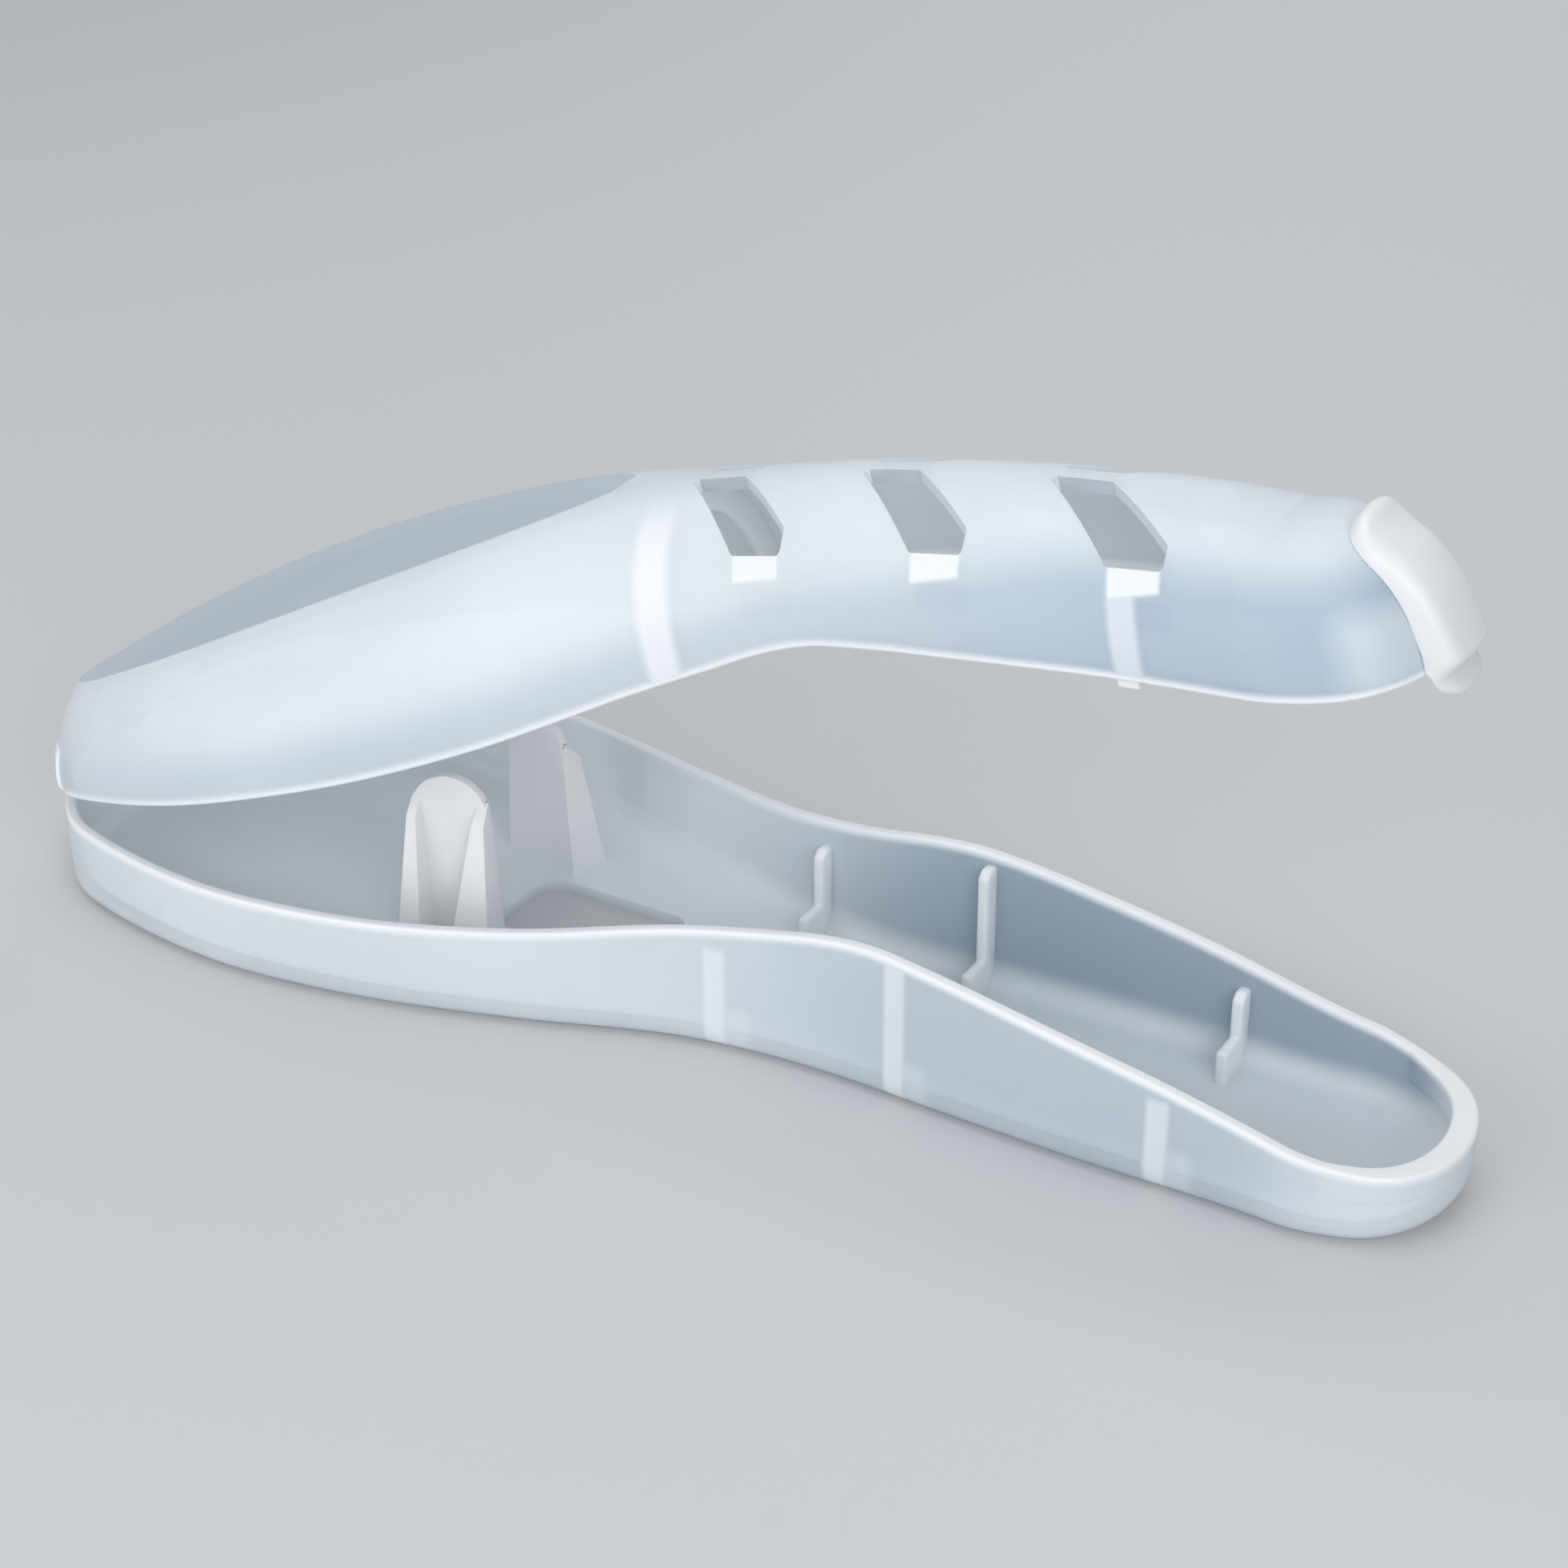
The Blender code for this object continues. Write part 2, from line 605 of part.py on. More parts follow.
# Snap tongue: a band that follows the lid's tail down past the seam, in front of the catch.
# A narrow slot parts it from its root, and it flexes about the slot.

tail_ridge = float(ridge_height(CASE_LENGTH - SPINE_TAIL))


def tail_point(step, outset):
    """Point of the lid's tail in the middle plane, at one dome ring and outset."""
    angle = math.pi / 2 * step / DOME_STEPS
    x = CASE_LENGTH - SPINE_TAIL + (SPINE_TAIL + outset) * math.cos(angle) ** (2 / SECTION_POWER)
    z = tail_seam + (tail_ridge + outset - tail_seam) * math.sin(angle) ** (2 / SECTION_POWER)
    return Vector((x, 0, z))


slot_middle = tail_point(SLOT_STEP, (TONGUE_GAP + TONGUE_OUT[SLOT_STEP]) / 2)
slot_along = tail_point(SLOT_STEP + 1, 0) - tail_point(SLOT_STEP - 1, 0)
slot_tilt = math.atan2(slot_along.z, slot_along.x)

pivot = bpy.data.objects.new("tongue_pivot", None)
pivot.parent = shut
pivot.location = slot_middle
parts.objects.link(pivot)

band = ([ring(-out, SEAM + up) for out, up in TONGUE_END] + [ring(-out, SEAM + up) for out, up in TONGUE_LIP]
        + dome_rings([-out for out in TONGUE_OUT])[1:])
front = rounded([(-TONGUE_HALF, tail_seam - TONGUE_BELOW), (TONGUE_HALF, tail_seam - TONGUE_BELOW),
                 (TONGUE_HALF, CASE_LENGTH), (-TONGUE_HALF, CASE_LENGTH)], TONGUE_ROUND, 5)
root_x = CASE_LENGTH - TONGUE_ROOT_BACK
tongue_front = add_object("tongue_front", prism(
    "tongue_front", front, "X", root_x, CASE_LENGTH + HEAD_CORNER), shut)
clear = CATCH_PROUD + TONGUE_GAP
tongue_foot = [ring(-clear, SEAM - TONGUE_BELOW * 2), ring(-clear, SEAM + SEAM_GAP),
               ring(-TONGUE_GAP, SEAM + SEAM_GAP * 2)]
tongue_room = dome("tongue_room", -TONGUE_GAP, tongue_foot, facet=False)


def tongue_half(name, parent, above):
    """The part of the band above or below the slot."""
    made = add_object(name, loft(name, band), parent, LATCH_PLASTIC)
    made.data.transform(Matrix.Translation(-Vector(parent.location)) if parent == pivot else Matrix())
    low = TONGUE_SLOT / 2 if above else -CASE_LENGTH
    high = CASE_LENGTH if above else -TONGUE_SLOT / 2
    side = add_object(name + "_side", box(
        name + "_side", (low, -CASE_LENGTH, -CASE_LENGTH), (high, CASE_LENGTH, CASE_LENGTH)), shut)
    side.location = slot_middle
    side.rotation_euler = (0, -slot_tilt, 0)
    cut(made, tongue_front, "INTERSECT")
    cut(made, side, "INTERSECT")
    cut(made, tongue_room)


tongue_half("latch_root", shut, True)
tongue_half("latch_tongue", pivot, False)
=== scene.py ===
import json
import math

import bmesh
import bpy
import numpy as np
from mathutils import Matrix, Vector


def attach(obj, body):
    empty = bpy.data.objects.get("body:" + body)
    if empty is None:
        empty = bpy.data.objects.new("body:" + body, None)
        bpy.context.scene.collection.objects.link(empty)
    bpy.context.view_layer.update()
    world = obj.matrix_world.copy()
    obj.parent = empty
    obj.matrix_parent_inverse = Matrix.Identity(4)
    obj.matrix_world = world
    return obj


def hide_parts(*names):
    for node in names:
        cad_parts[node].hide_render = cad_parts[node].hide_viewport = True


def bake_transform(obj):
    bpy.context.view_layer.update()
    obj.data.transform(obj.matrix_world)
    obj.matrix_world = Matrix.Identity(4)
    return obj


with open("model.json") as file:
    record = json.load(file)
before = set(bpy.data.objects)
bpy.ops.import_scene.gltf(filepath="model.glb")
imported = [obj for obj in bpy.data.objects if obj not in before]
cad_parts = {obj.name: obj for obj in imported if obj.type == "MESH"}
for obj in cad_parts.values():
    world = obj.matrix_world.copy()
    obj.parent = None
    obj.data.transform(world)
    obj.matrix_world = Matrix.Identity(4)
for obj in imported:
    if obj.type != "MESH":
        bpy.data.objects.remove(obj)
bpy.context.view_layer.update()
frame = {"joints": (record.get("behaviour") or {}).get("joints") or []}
joints = {joint["name"]: joint for joint in frame["joints"]}
scene = bpy.context.scene
quarterTurn = math.pi / 2
millimetres = 1000  # in a metre, because the materials measure in millimetres

# The case's form, in metres. A pair is a place along the case and the half width, height or power there.
# Places run from the hinge end, and in tail lists back from the tail end.
caseForm = {
    "length": 0.185,
    "headCorner": 0.0125,
    "tailRound": 0.0162,
    "tailPower": 1.7,
    "planHead": ((0.0, 0.0208), (0.005, 0.0241), (0.010, 0.0265), (0.015, 0.0281), (0.024, 0.0299),
                 (0.035, 0.0308), (0.050, 0.0293), (0.060, 0.0271), (0.075, 0.0225)),
    "planTail": ((0.090, 0.0156), (0.082, 0.0143), (0.072, 0.0137), (0.058, 0.0141), (0.043, 0.0144),
                 (0.016, 0.0143), (0.009, 0.0149), (0.004, 0.0163), (0.0, 0.0178)),
    "seamHead": ((0.0, 0.0127), (0.006, 0.0120), (0.020, 0.0116), (0.045, 0.0117), (0.060, 0.0121),
                 (0.075, 0.0133)),
    "seamTail": ((0.090, 0.0164), (0.080, 0.0181), (0.073, 0.0194), (0.067, 0.0199), (0.060, 0.0193),
                 (0.050, 0.0178), (0.035, 0.0152), (0.015, 0.0109), (0.008, 0.0097), (0.0, 0.0091)),
    "ridgeHead": ((0.0, 0.0295), (0.027, 0.0316), (0.050, 0.0341), (0.075, 0.0361)),
    "ridgeTail": ((0.092, 0.0365), (0.080, 0.0362), (0.065, 0.0357), (0.050, 0.0341), (0.035, 0.0318),
                  (0.023, 0.0289), (0.013, 0.0258), (0.005, 0.0244)),
    "sectionPower": ((0.008, 1.85), (0.030, 2.40), (0.094, 2.40), (0.116, 1.95), (0.150, 1.95),
                     (0.168, 2.40)),
    "spineHead": 0.020,
    "spineTail": 0.014,
    "facetHeight": 0.0218,
    "facetSlope": 0.196,
    "facetSag": 0.370,
    "facetReach": 0.098,
    "creaseLimit": 84,  # degrees
    "wall": 0.0015,
    "seamGap": 0.0003,
    "rimRound": 0.0004,
}

# Slanted slots in the lid, the same on both sides of the ridge
ventForm = {
    "count": 3,
    "back": 0.0399,
    "pitch": 0.0226,
    "spineHalf": 0.0012,
    "wide": 0.0065,
    "topWide": 0.0075,
    "out": 0.0107,
    "sweep": 0.0097,
    "nose": 0.0020,
    "noseLean": 0.00025,
    "corner": 0.0006,
    "low": 0.0166,
    "high": 0.0500,
}

# How finely the meshes are drawn
fineness = {
    "cornerSteps": 16,
    "sideStep": 0.0022,
    "tailSteps": 20,
    "edgeSteps": 12,
    "floorSteps": 6,
    "filletSteps": 7,
    "wallShares": (0.33, 0.66),
    "rimSteps": 4,
    "domeSteps": 22,
    "domePower": 0.9,
    "facetSteps": 9,
    "besideCrease": (0.985, 0.02),
    "halvings": 40,
    "mergeWithin": 0.000002,
    "sharpAngle": 30,
    "sharpAfterBevel": 60,
}


def smoothThrough(points, x):
    # Cubic through the points, with slopes from their neighbours and level past the ends
    xs, ys = np.array(points).T
    slopes = np.gradient(ys, xs)
    x = np.clip(x, xs[0], xs[-1])
    i = np.clip(np.searchsorted(xs, x) - 1, 0, len(xs) - 2)
    step = xs[i + 1] - xs[i]
    t = (x - xs[i]) / step
    return (ys[i] * (1 + 2 * t) * (1 - t) ** 2 + ys[i + 1] * t * t * (3 - 2 * t)
            + step * t * (1 - t) * (slopes[i] * (1 - t) - slopes[i + 1] * t))


def alongCase(name, x):
    tail = [(caseForm["length"] - back, value) for back, value in caseForm[name + "Tail"]]
    return smoothThrough(list(caseForm[name + "Head"]) + tail, x)


def halfWidth(x):
    corner, tail = caseForm["headCorner"], caseForm["tailRound"]
    run = np.clip(corner - x, 0, corner)
    width = alongCase("plan", x) - corner + np.sqrt(corner ** 2 - run ** 2)
    s = np.clip((x - caseForm["length"] + tail) / tail, 0, 1)
    return width * np.sqrt(np.clip(1 - s ** caseForm["tailPower"], 0, 1))


def sectionPower(x):
    # 2 is an ellipse, more is squarer
    return np.interp(x, *zip(*caseForm["sectionPower"]))


def caseOutline():
    # Closed outline seen from above, with the normals that point outwards
    length, corner, tail = caseForm["length"], caseForm["headCorner"], caseForm["tailRound"]
    head = corner * (1 - np.cos(np.linspace(0, quarterTurn, fineness["cornerSteps"] + 1)))
    count = round((length - tail - corner) / fineness["sideStep"])
    side = np.linspace(corner, length - tail, count + 1)[1:]
    turn = np.linspace(0, quarterTurn, fineness["tailSteps"] + 1)[1:]
    end = length - tail + tail * np.sin(turn) ** (2 / caseForm["tailPower"])
    xs = np.concatenate([head, side, end])
    near = np.stack([xs, -halfWidth(xs)], 1)
    near[-1, 1] = 0
    far = near[-2::-1] * (1, -1)
    across = np.linspace(1, -1, fineness["edgeSteps"] + 1)[1:-1]
    edge = np.stack([across * 0, across * -near[0, 1]], 1)
    points = np.concatenate([near, far, edge])
    forward = np.roll(points, -1, 0) - np.roll(points, 1, 0)
    normals = np.stack([forward[:, 1], -forward[:, 0]], 1)
    return points, normals / np.linalg.norm(normals, axis=1)[:, None]


outlinePoints, outlineNormals = caseOutline()
outlineSeam = alongCase("seam", outlinePoints[:, 0])
halfGap = caseForm["seamGap"] / 2


def flatRing(inset, height):
    plan = outlinePoints - outlineNormals * np.reshape(inset, (-1, 1))
    return np.column_stack([plan, np.broadcast_to(height, len(plan))])


def spineLine():
    x = np.clip(outlinePoints[:, 0], caseForm["spineHead"], caseForm["length"] - caseForm["spineTail"])
    return np.column_stack([x, x * 0])


def ridgeRise(inset):
    # How far the ridge stands over each point of the seam
    return alongCase("ridge", spineLine()[:, 0]) - inset - outlineSeam


def facetAt(x, inset):
    # Height of the sloping flat on the lid, which ends at the facet's reach
    x = np.clip(x, 0, None)
    flat = caseForm["facetHeight"] + caseForm["facetSlope"] * x - caseForm["facetSag"] * x ** 2 - inset
    return np.where(x < caseForm["facetReach"], flat, np.inf)


def domeRing(inset, turn, facet=True):
    # Ring of the dome: a turn of 0 lies on the seam, a quarter turn on the spine line
    spine = spineLine()
    power = sectionPower(outlinePoints[:, 0])
    plan = outlinePoints - outlineNormals * inset
    out = np.clip(np.cos(turn), 0, 1) ** (2 / power)
    place = spine + (plan - spine) * out[:, None]
    height = outlineSeam + ridgeRise(inset) * np.sin(turn) ** (2 / power)
    return np.column_stack([place, np.minimum(height, facetAt(place[:, 0], inset)) if facet else height])


def creaseTurn(inset):
    # Where each column of the dome meets the flat, found by halving
    low = np.zeros(len(outlinePoints))
    high = low + quarterTurn
    for _ in range(fineness["halvings"]):
        middle = (low + high) / 2
        ring = domeRing(inset, middle, facet=False)
        above = ring[:, 2] > facetAt(ring[:, 0], inset)
        high = np.where(above, middle, high)
        low = np.where(above, low, middle)
    return np.minimum(high, math.radians(caseForm["creaseLimit"]))


def startTurn(inset, lift):
    # Turn at which each column stands a given height over the seam
    share = np.clip(lift / ridgeRise(inset), 0, 1)
    return np.arcsin(share ** (sectionPower(outlinePoints[:, 0]) / 2))


def domeSide(inset):
    # Rings of one face of the dome, from just above the rim to the spine line
    start = startTurn(inset, halfGap + caseForm["rimRound"])
    crease = creaseTurn(inset)
    under, over = fineness["besideCrease"]
    shares = list(np.linspace(0, 1, fineness["domeSteps"]) ** fineness["domePower"])
    shares.insert(-1, under)
    rings = [domeRing(inset, start + (crease - start) * share) for share in shares]
    shares = [over] + list(np.linspace(0, 1, fineness["facetSteps"])[1:])
    return rings + [domeRing(inset, crease + (quarterTurn - crease) * share) for share in shares]


def rimArc(inset, depth, foot, sign):
    # Quarter round from the face of the wall to the flat of the rim
    radius = caseForm["rimRound"]
    return [flatRing(inset + depth * radius * (1 - math.cos(t)), foot + sign * radius * (1 - math.sin(t)))
            for t in np.linspace(0, quarterTurn, fineness["rimSteps"] + 1)]


# Mesh helpers


def shadeSmooth(mesh, angle):
    mesh.shade_smooth()
    mesh.set_sharp_from_angle(angle=math.radians(angle))


def meshFromBm(bm, name):
    bmesh.ops.remove_doubles(bm, verts=bm.verts, dist=fineness["mergeWithin"])
    bmesh.ops.dissolve_degenerate(bm, edges=bm.edges, dist=fineness["mergeWithin"])
    bmesh.ops.recalc_face_normals(bm, faces=bm.faces)
    mesh = bpy.data.meshes.new(name)
    bm.to_mesh(mesh)
    bm.free()
    shadeSmooth(mesh, fineness["sharpAngle"])
    return mesh


def joinRows(bm, first, second):
    # Faces between two closed rows of equal count
    for i in range(len(first)):
        j = (i + 1) % len(first)
        bm.faces.new((first[i], first[j], second[j], second[i]))


def ringLoft(name, rings):
    # Skin through rings of equal count, of which the first and last are drawn to a line
    bm = bmesh.new()
    rows = [[bm.verts.new(p) for p in row] for row in rings]
    for low, high in zip(rows, rows[1:]):
        joinRows(bm, low, high)
    return meshFromBm(bm, name)


def closedSlab(name, outer, inner):
    # Body between two grids of points that lie over each other
    bm = bmesh.new()
    edges = []
    for grid in (outer, inner):
        rows = [[bm.verts.new(p) for p in row] for row in grid]
        for low, high in zip(rows, rows[1:]):
            for j in range(len(low) - 1):
                bm.faces.new((low[j], low[j + 1], high[j + 1], high[j]))
        edges.append(rows[0] + [row[-1] for row in rows[1:]] + rows[-1][-2::-1]
                     + [row[0] for row in rows[-2:0:-1]])
    joinRows(bm, *edges)
    return meshFromBm(bm, name)


def cappedMesh(name, ends):
    # Closed body between two outlines of equal count
    bm = bmesh.new()
    first, second = [[bm.verts.new(p) for p in row] for row in ends]
    bm.faces.new(first)
    bm.faces.new(second)
    joinRows(bm, first, second)
    return meshFromBm(bm, name)


def prismMesh(name, points, axis, low, high):
    turn = "XYZ".index(axis)
    return cappedMesh(name, [[(*p[:turn], along, *p[turn:]) for p in points] for along in (low, high)])


def roundedOutline(points, radius, steps=6):
    # The same polygon with an arc at each corner
    made = []
    for i, point in enumerate(points):
        corner = Vector(point)
        before = (Vector(points[i - 1]) - corner).normalized()
        after = (Vector(points[(i + 1) % len(points)]) - corner).normalized()
        half = before.angle(after) / 2
        centre = corner + (before + after).normalized() * (radius / math.sin(half))
        start = corner + before * (radius / math.tan(half)) - centre
        sweep = math.copysign(math.pi - half * 2, before.cross(after) * -1)
        for step in range(steps + 1):
            turn = sweep * step / steps
            made.append((centre.x + start.x * math.cos(turn) - start.y * math.sin(turn),
                         centre.y + start.x * math.sin(turn) + start.y * math.cos(turn)))
    return made


def newObject(data):
    # An object with the name of its mesh, lamp or camera
    thing = bpy.data.objects.new(data.name, data)
    scene.collection.objects.link(thing)
    return thing


def joined(name, meshes):
    bm = bmesh.new()
    for mesh in meshes:
        bm.from_mesh(mesh)
        bpy.data.meshes.remove(mesh)
    return newObject(meshFromBm(bm, name))


def applied(thing):
    # The evaluated mesh becomes the object's own, and the modifiers go
    bpy.context.view_layer.update()
    seen = thing.evaluated_get(bpy.context.evaluated_depsgraph_get())
    mesh = bpy.data.meshes.new_from_object(seen)
    mesh.name = thing.name
    thing.modifiers.clear()
    thing.data = mesh
    return thing


def carve(thing, cutters, operation="DIFFERENCE"):
    for cutter in cutters:
        change = thing.modifiers.new("carve", "BOOLEAN")
        change.operation = operation
        change.object = cutter
    applied(thing)
    for cutter in cutters:
        bpy.data.objects.remove(cutter)
    shadeSmooth(thing.data, fineness["sharpAngle"])
    return thing


def softenEdges(thing, width, segments=2, angle=50):
    bevel = thing.modifiers.new("softEdges", "BEVEL")
    bevel.width = width
    bevel.segments = segments
    bevel.limit_method = "ANGLE"
    bevel.angle_limit = math.radians(angle)
    applied(thing)
    shadeSmooth(thing.data, fineness["sharpAfterBevel"])
    return thing


# Where the two halves stand: the tray's middle at the origin, the lid turned about the hinge

trayPlace = Matrix.Translation((-caseForm["length"] / 2, 0, 0))
hingePoint = Vector(joints["lid_hinge"]["pos_m"])
openTurn = math.radians(joints["lid_hinge"]["range_deg"][0])
lidPlace = (Matrix.Translation(hingePoint) @ Matrix.Rotation(openTurn, 4, "Y")
            @ Matrix.Translation(-hingePoint) @ trayPlace)

# Limits for what the materials are told about each point and face
markForm = {
    "inward": -0.2,  # cosine between the normal and the way out
    "flatWithin": 0.00003,
    "cutFacing": 0.9,
    "cutReach": 1.5,  # times the half width of the spine between the vents
}


def vectorsOf(items, key):
    values = np.zeros(len(items) * 3)
    items.foreach_get(key, values)
    return values.reshape(-1, 3)


def markOn(mesh, name, domain, values):
    mesh.attributes.new(name, "FLOAT", domain).data.foreach_set("value", values.astype(float))


def insideOf(mesh, co, seam):
    # True for points whose normal looks towards the middle of the case
    along = np.clip(co[:, 0], caseForm["spineHead"], caseForm["length"] - caseForm["spineTail"])
    away = co - np.column_stack([along, np.zeros(len(co)), seam])
    facing = (vectorsOf(mesh.vertices, "normal") * away).sum(1)
    return facing < markForm["inward"] * np.linalg.norm(away, axis=1)


def settle(thing, place):
    # Keeps each point's place in the shut case for the materials, in millimetres, then moves the mesh
    mesh = thing.data
    co = vectorsOf(mesh.vertices, "co")
    seam = alongCase("seam", co[:, 0])
    kept = np.column_stack([co[:, 0], np.abs(co[:, 1]), co[:, 2] - seam]) * millimetres
    mesh.attributes.new("casePlace", "FLOAT_VECTOR", "POINT").data.foreach_set("vector", kept.ravel())
    markOn(mesh, "caseHeight", "POINT", co[:, 2] * millimetres)
    markOn(mesh, "inside", "POINT", insideOf(mesh, co, seam))
    onFlat = [np.abs(facetAt(co[:, 0], inset) - co[:, 2]) < markForm["flatWithin"]
              for inset in (0, caseForm["wall"])]
    flat = [any(near[list(face.vertices)].all() for near in onFlat) for face in mesh.polygons]
    # Faces on the flat top, which the materials paint in shade
    markOn(mesh, "flatOnTop", "FACE", np.array(flat))
    # Slot walls by the spine, which the lid's material paints in shade
    facing = np.abs(vectorsOf(mesh.polygons, "normal")[:, 1])
    reach = np.abs(vectorsOf(mesh.polygons, "center")[:, 1])
    cut = (facing > markForm["cutFacing"]) & (reach < ventForm["spineHalf"] * markForm["cutReach"])
    markOn(mesh, "slotCut", "FACE", cut)
    mesh.transform(place)
    mesh.update()
    return thing


# Materials


class Wire:
    # One outlet in a shader's tree, so that sums are written as sums
    def __init__(self, paint, outlet):
        self.paint, self.outlet = paint, outlet

    def __add__(self, other):
        return self.paint.sum("ADD", self, other)

    def __radd__(self, other):
        return self.paint.sum("ADD", other, self)

    def __sub__(self, other):
        return self.paint.sum("SUBTRACT", self, other)

    def __rsub__(self, other):
        return self.paint.sum("SUBTRACT", other, self)

    def __mul__(self, other):
        return self.paint.sum("MULTIPLY", self, other)

    def __rmul__(self, other):
        return self.paint.sum("MULTIPLY", other, self)


def feed(tree, socket, value):
    # Links a wire or an outlet, and sets anything else as the socket's value
    value = getattr(value, "outlet", value)
    if isinstance(value, bpy.types.NodeSocket):
        tree.links.new(value, socket)
    else:
        socket.default_value = value


def addNode(tree, kind, settings=None, outlet=0, **values):
    # The settings come first, then the sockets, by name or by number as in _0
    made = tree.nodes.new(kind)
    for key, value in (settings or {}).items():
        setattr(made, key, value)
    for key, value in values.items():
        feed(tree, made.inputs[int(key[1:])] if key[0] == "_" else made.inputs[key], value)
    return made.outputs[outlet]


class Paint:
    # A material's tree: node() adds any node, sum() a Math node, coat() feeds the shader
    def __init__(self, name):
        self.material = bpy.data.materials.new(name)
        self.material.use_nodes = True
        self.tree = self.material.node_tree

    def node(self, kind, settings=None, outlet=0, **values):
        return Wire(self, addNode(self.tree, kind, settings, outlet, **values))

    def sum(self, operation, a, b):
        return self.node("ShaderNodeMath", {"operation": operation}, _0=a, _1=b)

    def coat(self, values):
        shader = self.tree.nodes["Principled BSDF"]
        for name, value in values.items():
            feed(self.tree, shader.inputs[name], value)
        return self.material

    def smooth(self, value, low, high):
        # 0 below low, 1 above high, or the other way round where low is the larger
        start, end = (1.0, 0.0) if low > high else (0.0, 1.0)
        return self.node("ShaderNodeMapRange", {"interpolation_type": "SMOOTHSTEP"},
                         _0=value, _1=min(low, high), _2=max(low, high), _3=start, _4=end)

    def band(self, value, middle, half, fade):
        # 1 within half of the middle, fading to 0
        off = self.node("ShaderNodeMath", {"operation": "ABSOLUTE"}, _0=value - middle)
        return self.smooth(off, half + fade, half)

    def either(self, *masks):
        made = masks[0]
        for mask in masks[1:]:
            made = self.sum("MAXIMUM", made, mask)
        return made

    def blendColours(self, mask, a, b):
        # Sockets 6 and 7 and outlet 2 are the ones for colours
        a, b = [colour if isinstance(colour, Wire) else (*colour, 1) for colour in (a, b)]
        return self.node("ShaderNodeMix", {"data_type": "RGBA"}, 2, _0=mask, _6=a, _7=b)

    def casePlace(self):
        # Distance from the hinge end, distance from the middle line, height over the seam
        place = self.node("ShaderNodeAttribute", {"attribute_name": "casePlace"}, "Vector")
        split = self.node("ShaderNodeSeparateXYZ", _0=place).outlet.node
        return [Wire(self, outlet) for outlet in split.outputs]

    def mark(self, name):
        return self.node("ShaderNodeAttribute", {"attribute_name": name}, "Fac")

    def noise(self, scale, detail):
        place = self.node("ShaderNodeTexCoord", outlet="Object")
        return self.node("ShaderNodeTexNoise", Vector=place, Scale=scale, Detail=detail)


frostedLook = {
    "body": (0.80, 0.86, 0.91),
    # Whiter where parts stand behind the wall, and the painted highlights along the rim and beside the
    # tongue
    "thick": (0.89, 0.92, 0.94),
    "milky": (0.84, 0.89, 0.93),
    # Painted shade, bluer and darker, where the shade mask goes
    "thin": (0.42, 0.54, 0.65),
    # Painted light: inside faces lighter, standing for light that comes in through the walls
    "inner": (0.92, 0.95, 0.965),
    # Painted shade on the inner walls where the shade mask goes
    "innerShade": (0.31, 0.41, 0.49),
    # Painted shade on the flat top of the lid
    "flat": (0.58, 0.68, 0.78),
    # Painted shade on the slot walls by the spine
    "cut": (0.50, 0.57, 0.63),
    "alpha": 0.72,
    "innerAlpha": 0.88,
    "flatAlpha": 0.70,
    "thickAlpha": 0.97,
    "milkAlpha": 0.03,
    "milkScale": 34.0,
    "milkDetail": 3.0,
    "milkSpread": (0.35, 0.65),
    "roughness": 0.33,
    "roughnessSpread": 0.09,
    "grainScale": 2400.0,
    "grainDetail": 1.0,
    "grainBump": 0.05,
    "grainDepth": 0.0002,
    "refraction": 1.49,
    "rimFull": 0.45,  # millimetres, as rimFade
    "rimFade": 1.1,
}
lidLook = dict(frostedLook, innerAlpha=0.48)
# Ribs and posts are whiter than the walls, partly for their denser plastic and partly as painted light that
# stands for light coming through the case
ribLook = dict(frostedLook, body=(0.93, 0.955, 0.97), milky=(0.95, 0.97, 0.98), alpha=0.90)
postLook = dict(ribLook, body=(0.96, 0.975, 0.98), alpha=0.86)
# The tongue is painted greyer than the case as painted shade, to hold down the lamp that faces it
latchLook = dict(frostedLook, body=(0.78, 0.81, 0.825), milky=(0.81, 0.835, 0.85), alpha=0.96)


def frostedPlastic(name, look, thickAndHighlightMask=None, paintedShadeMask=None):
    # Frosted polypropylene. With masks it is whiter and denser where thick, whiter where painted highlights
    # go, and bluer and darker where painted shade goes.
    paint = Paint(name)
    milk = paint.smooth(paint.noise(look["milkScale"], look["milkDetail"]), *look["milkSpread"])
    colour = paint.blendColours(milk, look["body"], look["milky"])
    alpha = look["alpha"] + milk * look["milkAlpha"]
    if thickAndHighlightMask:
        thin, thick = paintedShadeMask(paint), thickAndHighlightMask(paint)
        inside, flat = paint.mark("inside"), paint.mark("flatOnTop")
        # Painted shade, painted light on inside faces, painted shade on the flat top and slot walls, then
        # the thick and highlight mask
        for mask, tone in ((thin, "thin"), (inside * thin, "innerShade"), (inside * (1 - thin), "inner"),
                           (flat, "flat"), (thick, "thick"), (paint.mark("slotCut"), "cut")):
            colour = paint.blendColours(mask, colour, look[tone])
        alpha = alpha + inside * (look["innerAlpha"] - look["alpha"])
        alpha = alpha + flat * (look["flatAlpha"] - look["alpha"])
        alpha = alpha * (1 - thick) + thick * look["thickAlpha"]
    bump = paint.node("ShaderNodeBump", Strength=look["grainBump"], Distance=look["grainDepth"],
                      Height=paint.noise(look["grainScale"], look["grainDetail"]))
    return paint.coat({"Base Color": colour, "Alpha": alpha, "Normal": bump, "IOR": look["refraction"],
                       "Roughness": look["roughness"] + milk * look["roughnessSpread"]})


ribPlastic = frostedPlastic("ribPlastic", ribLook)
postPlastic = frostedPlastic("postPlastic", postLook)
latchPlastic = frostedPlastic("latchPlastic", latchLook)

# Geometry Nodes tree for what repeats


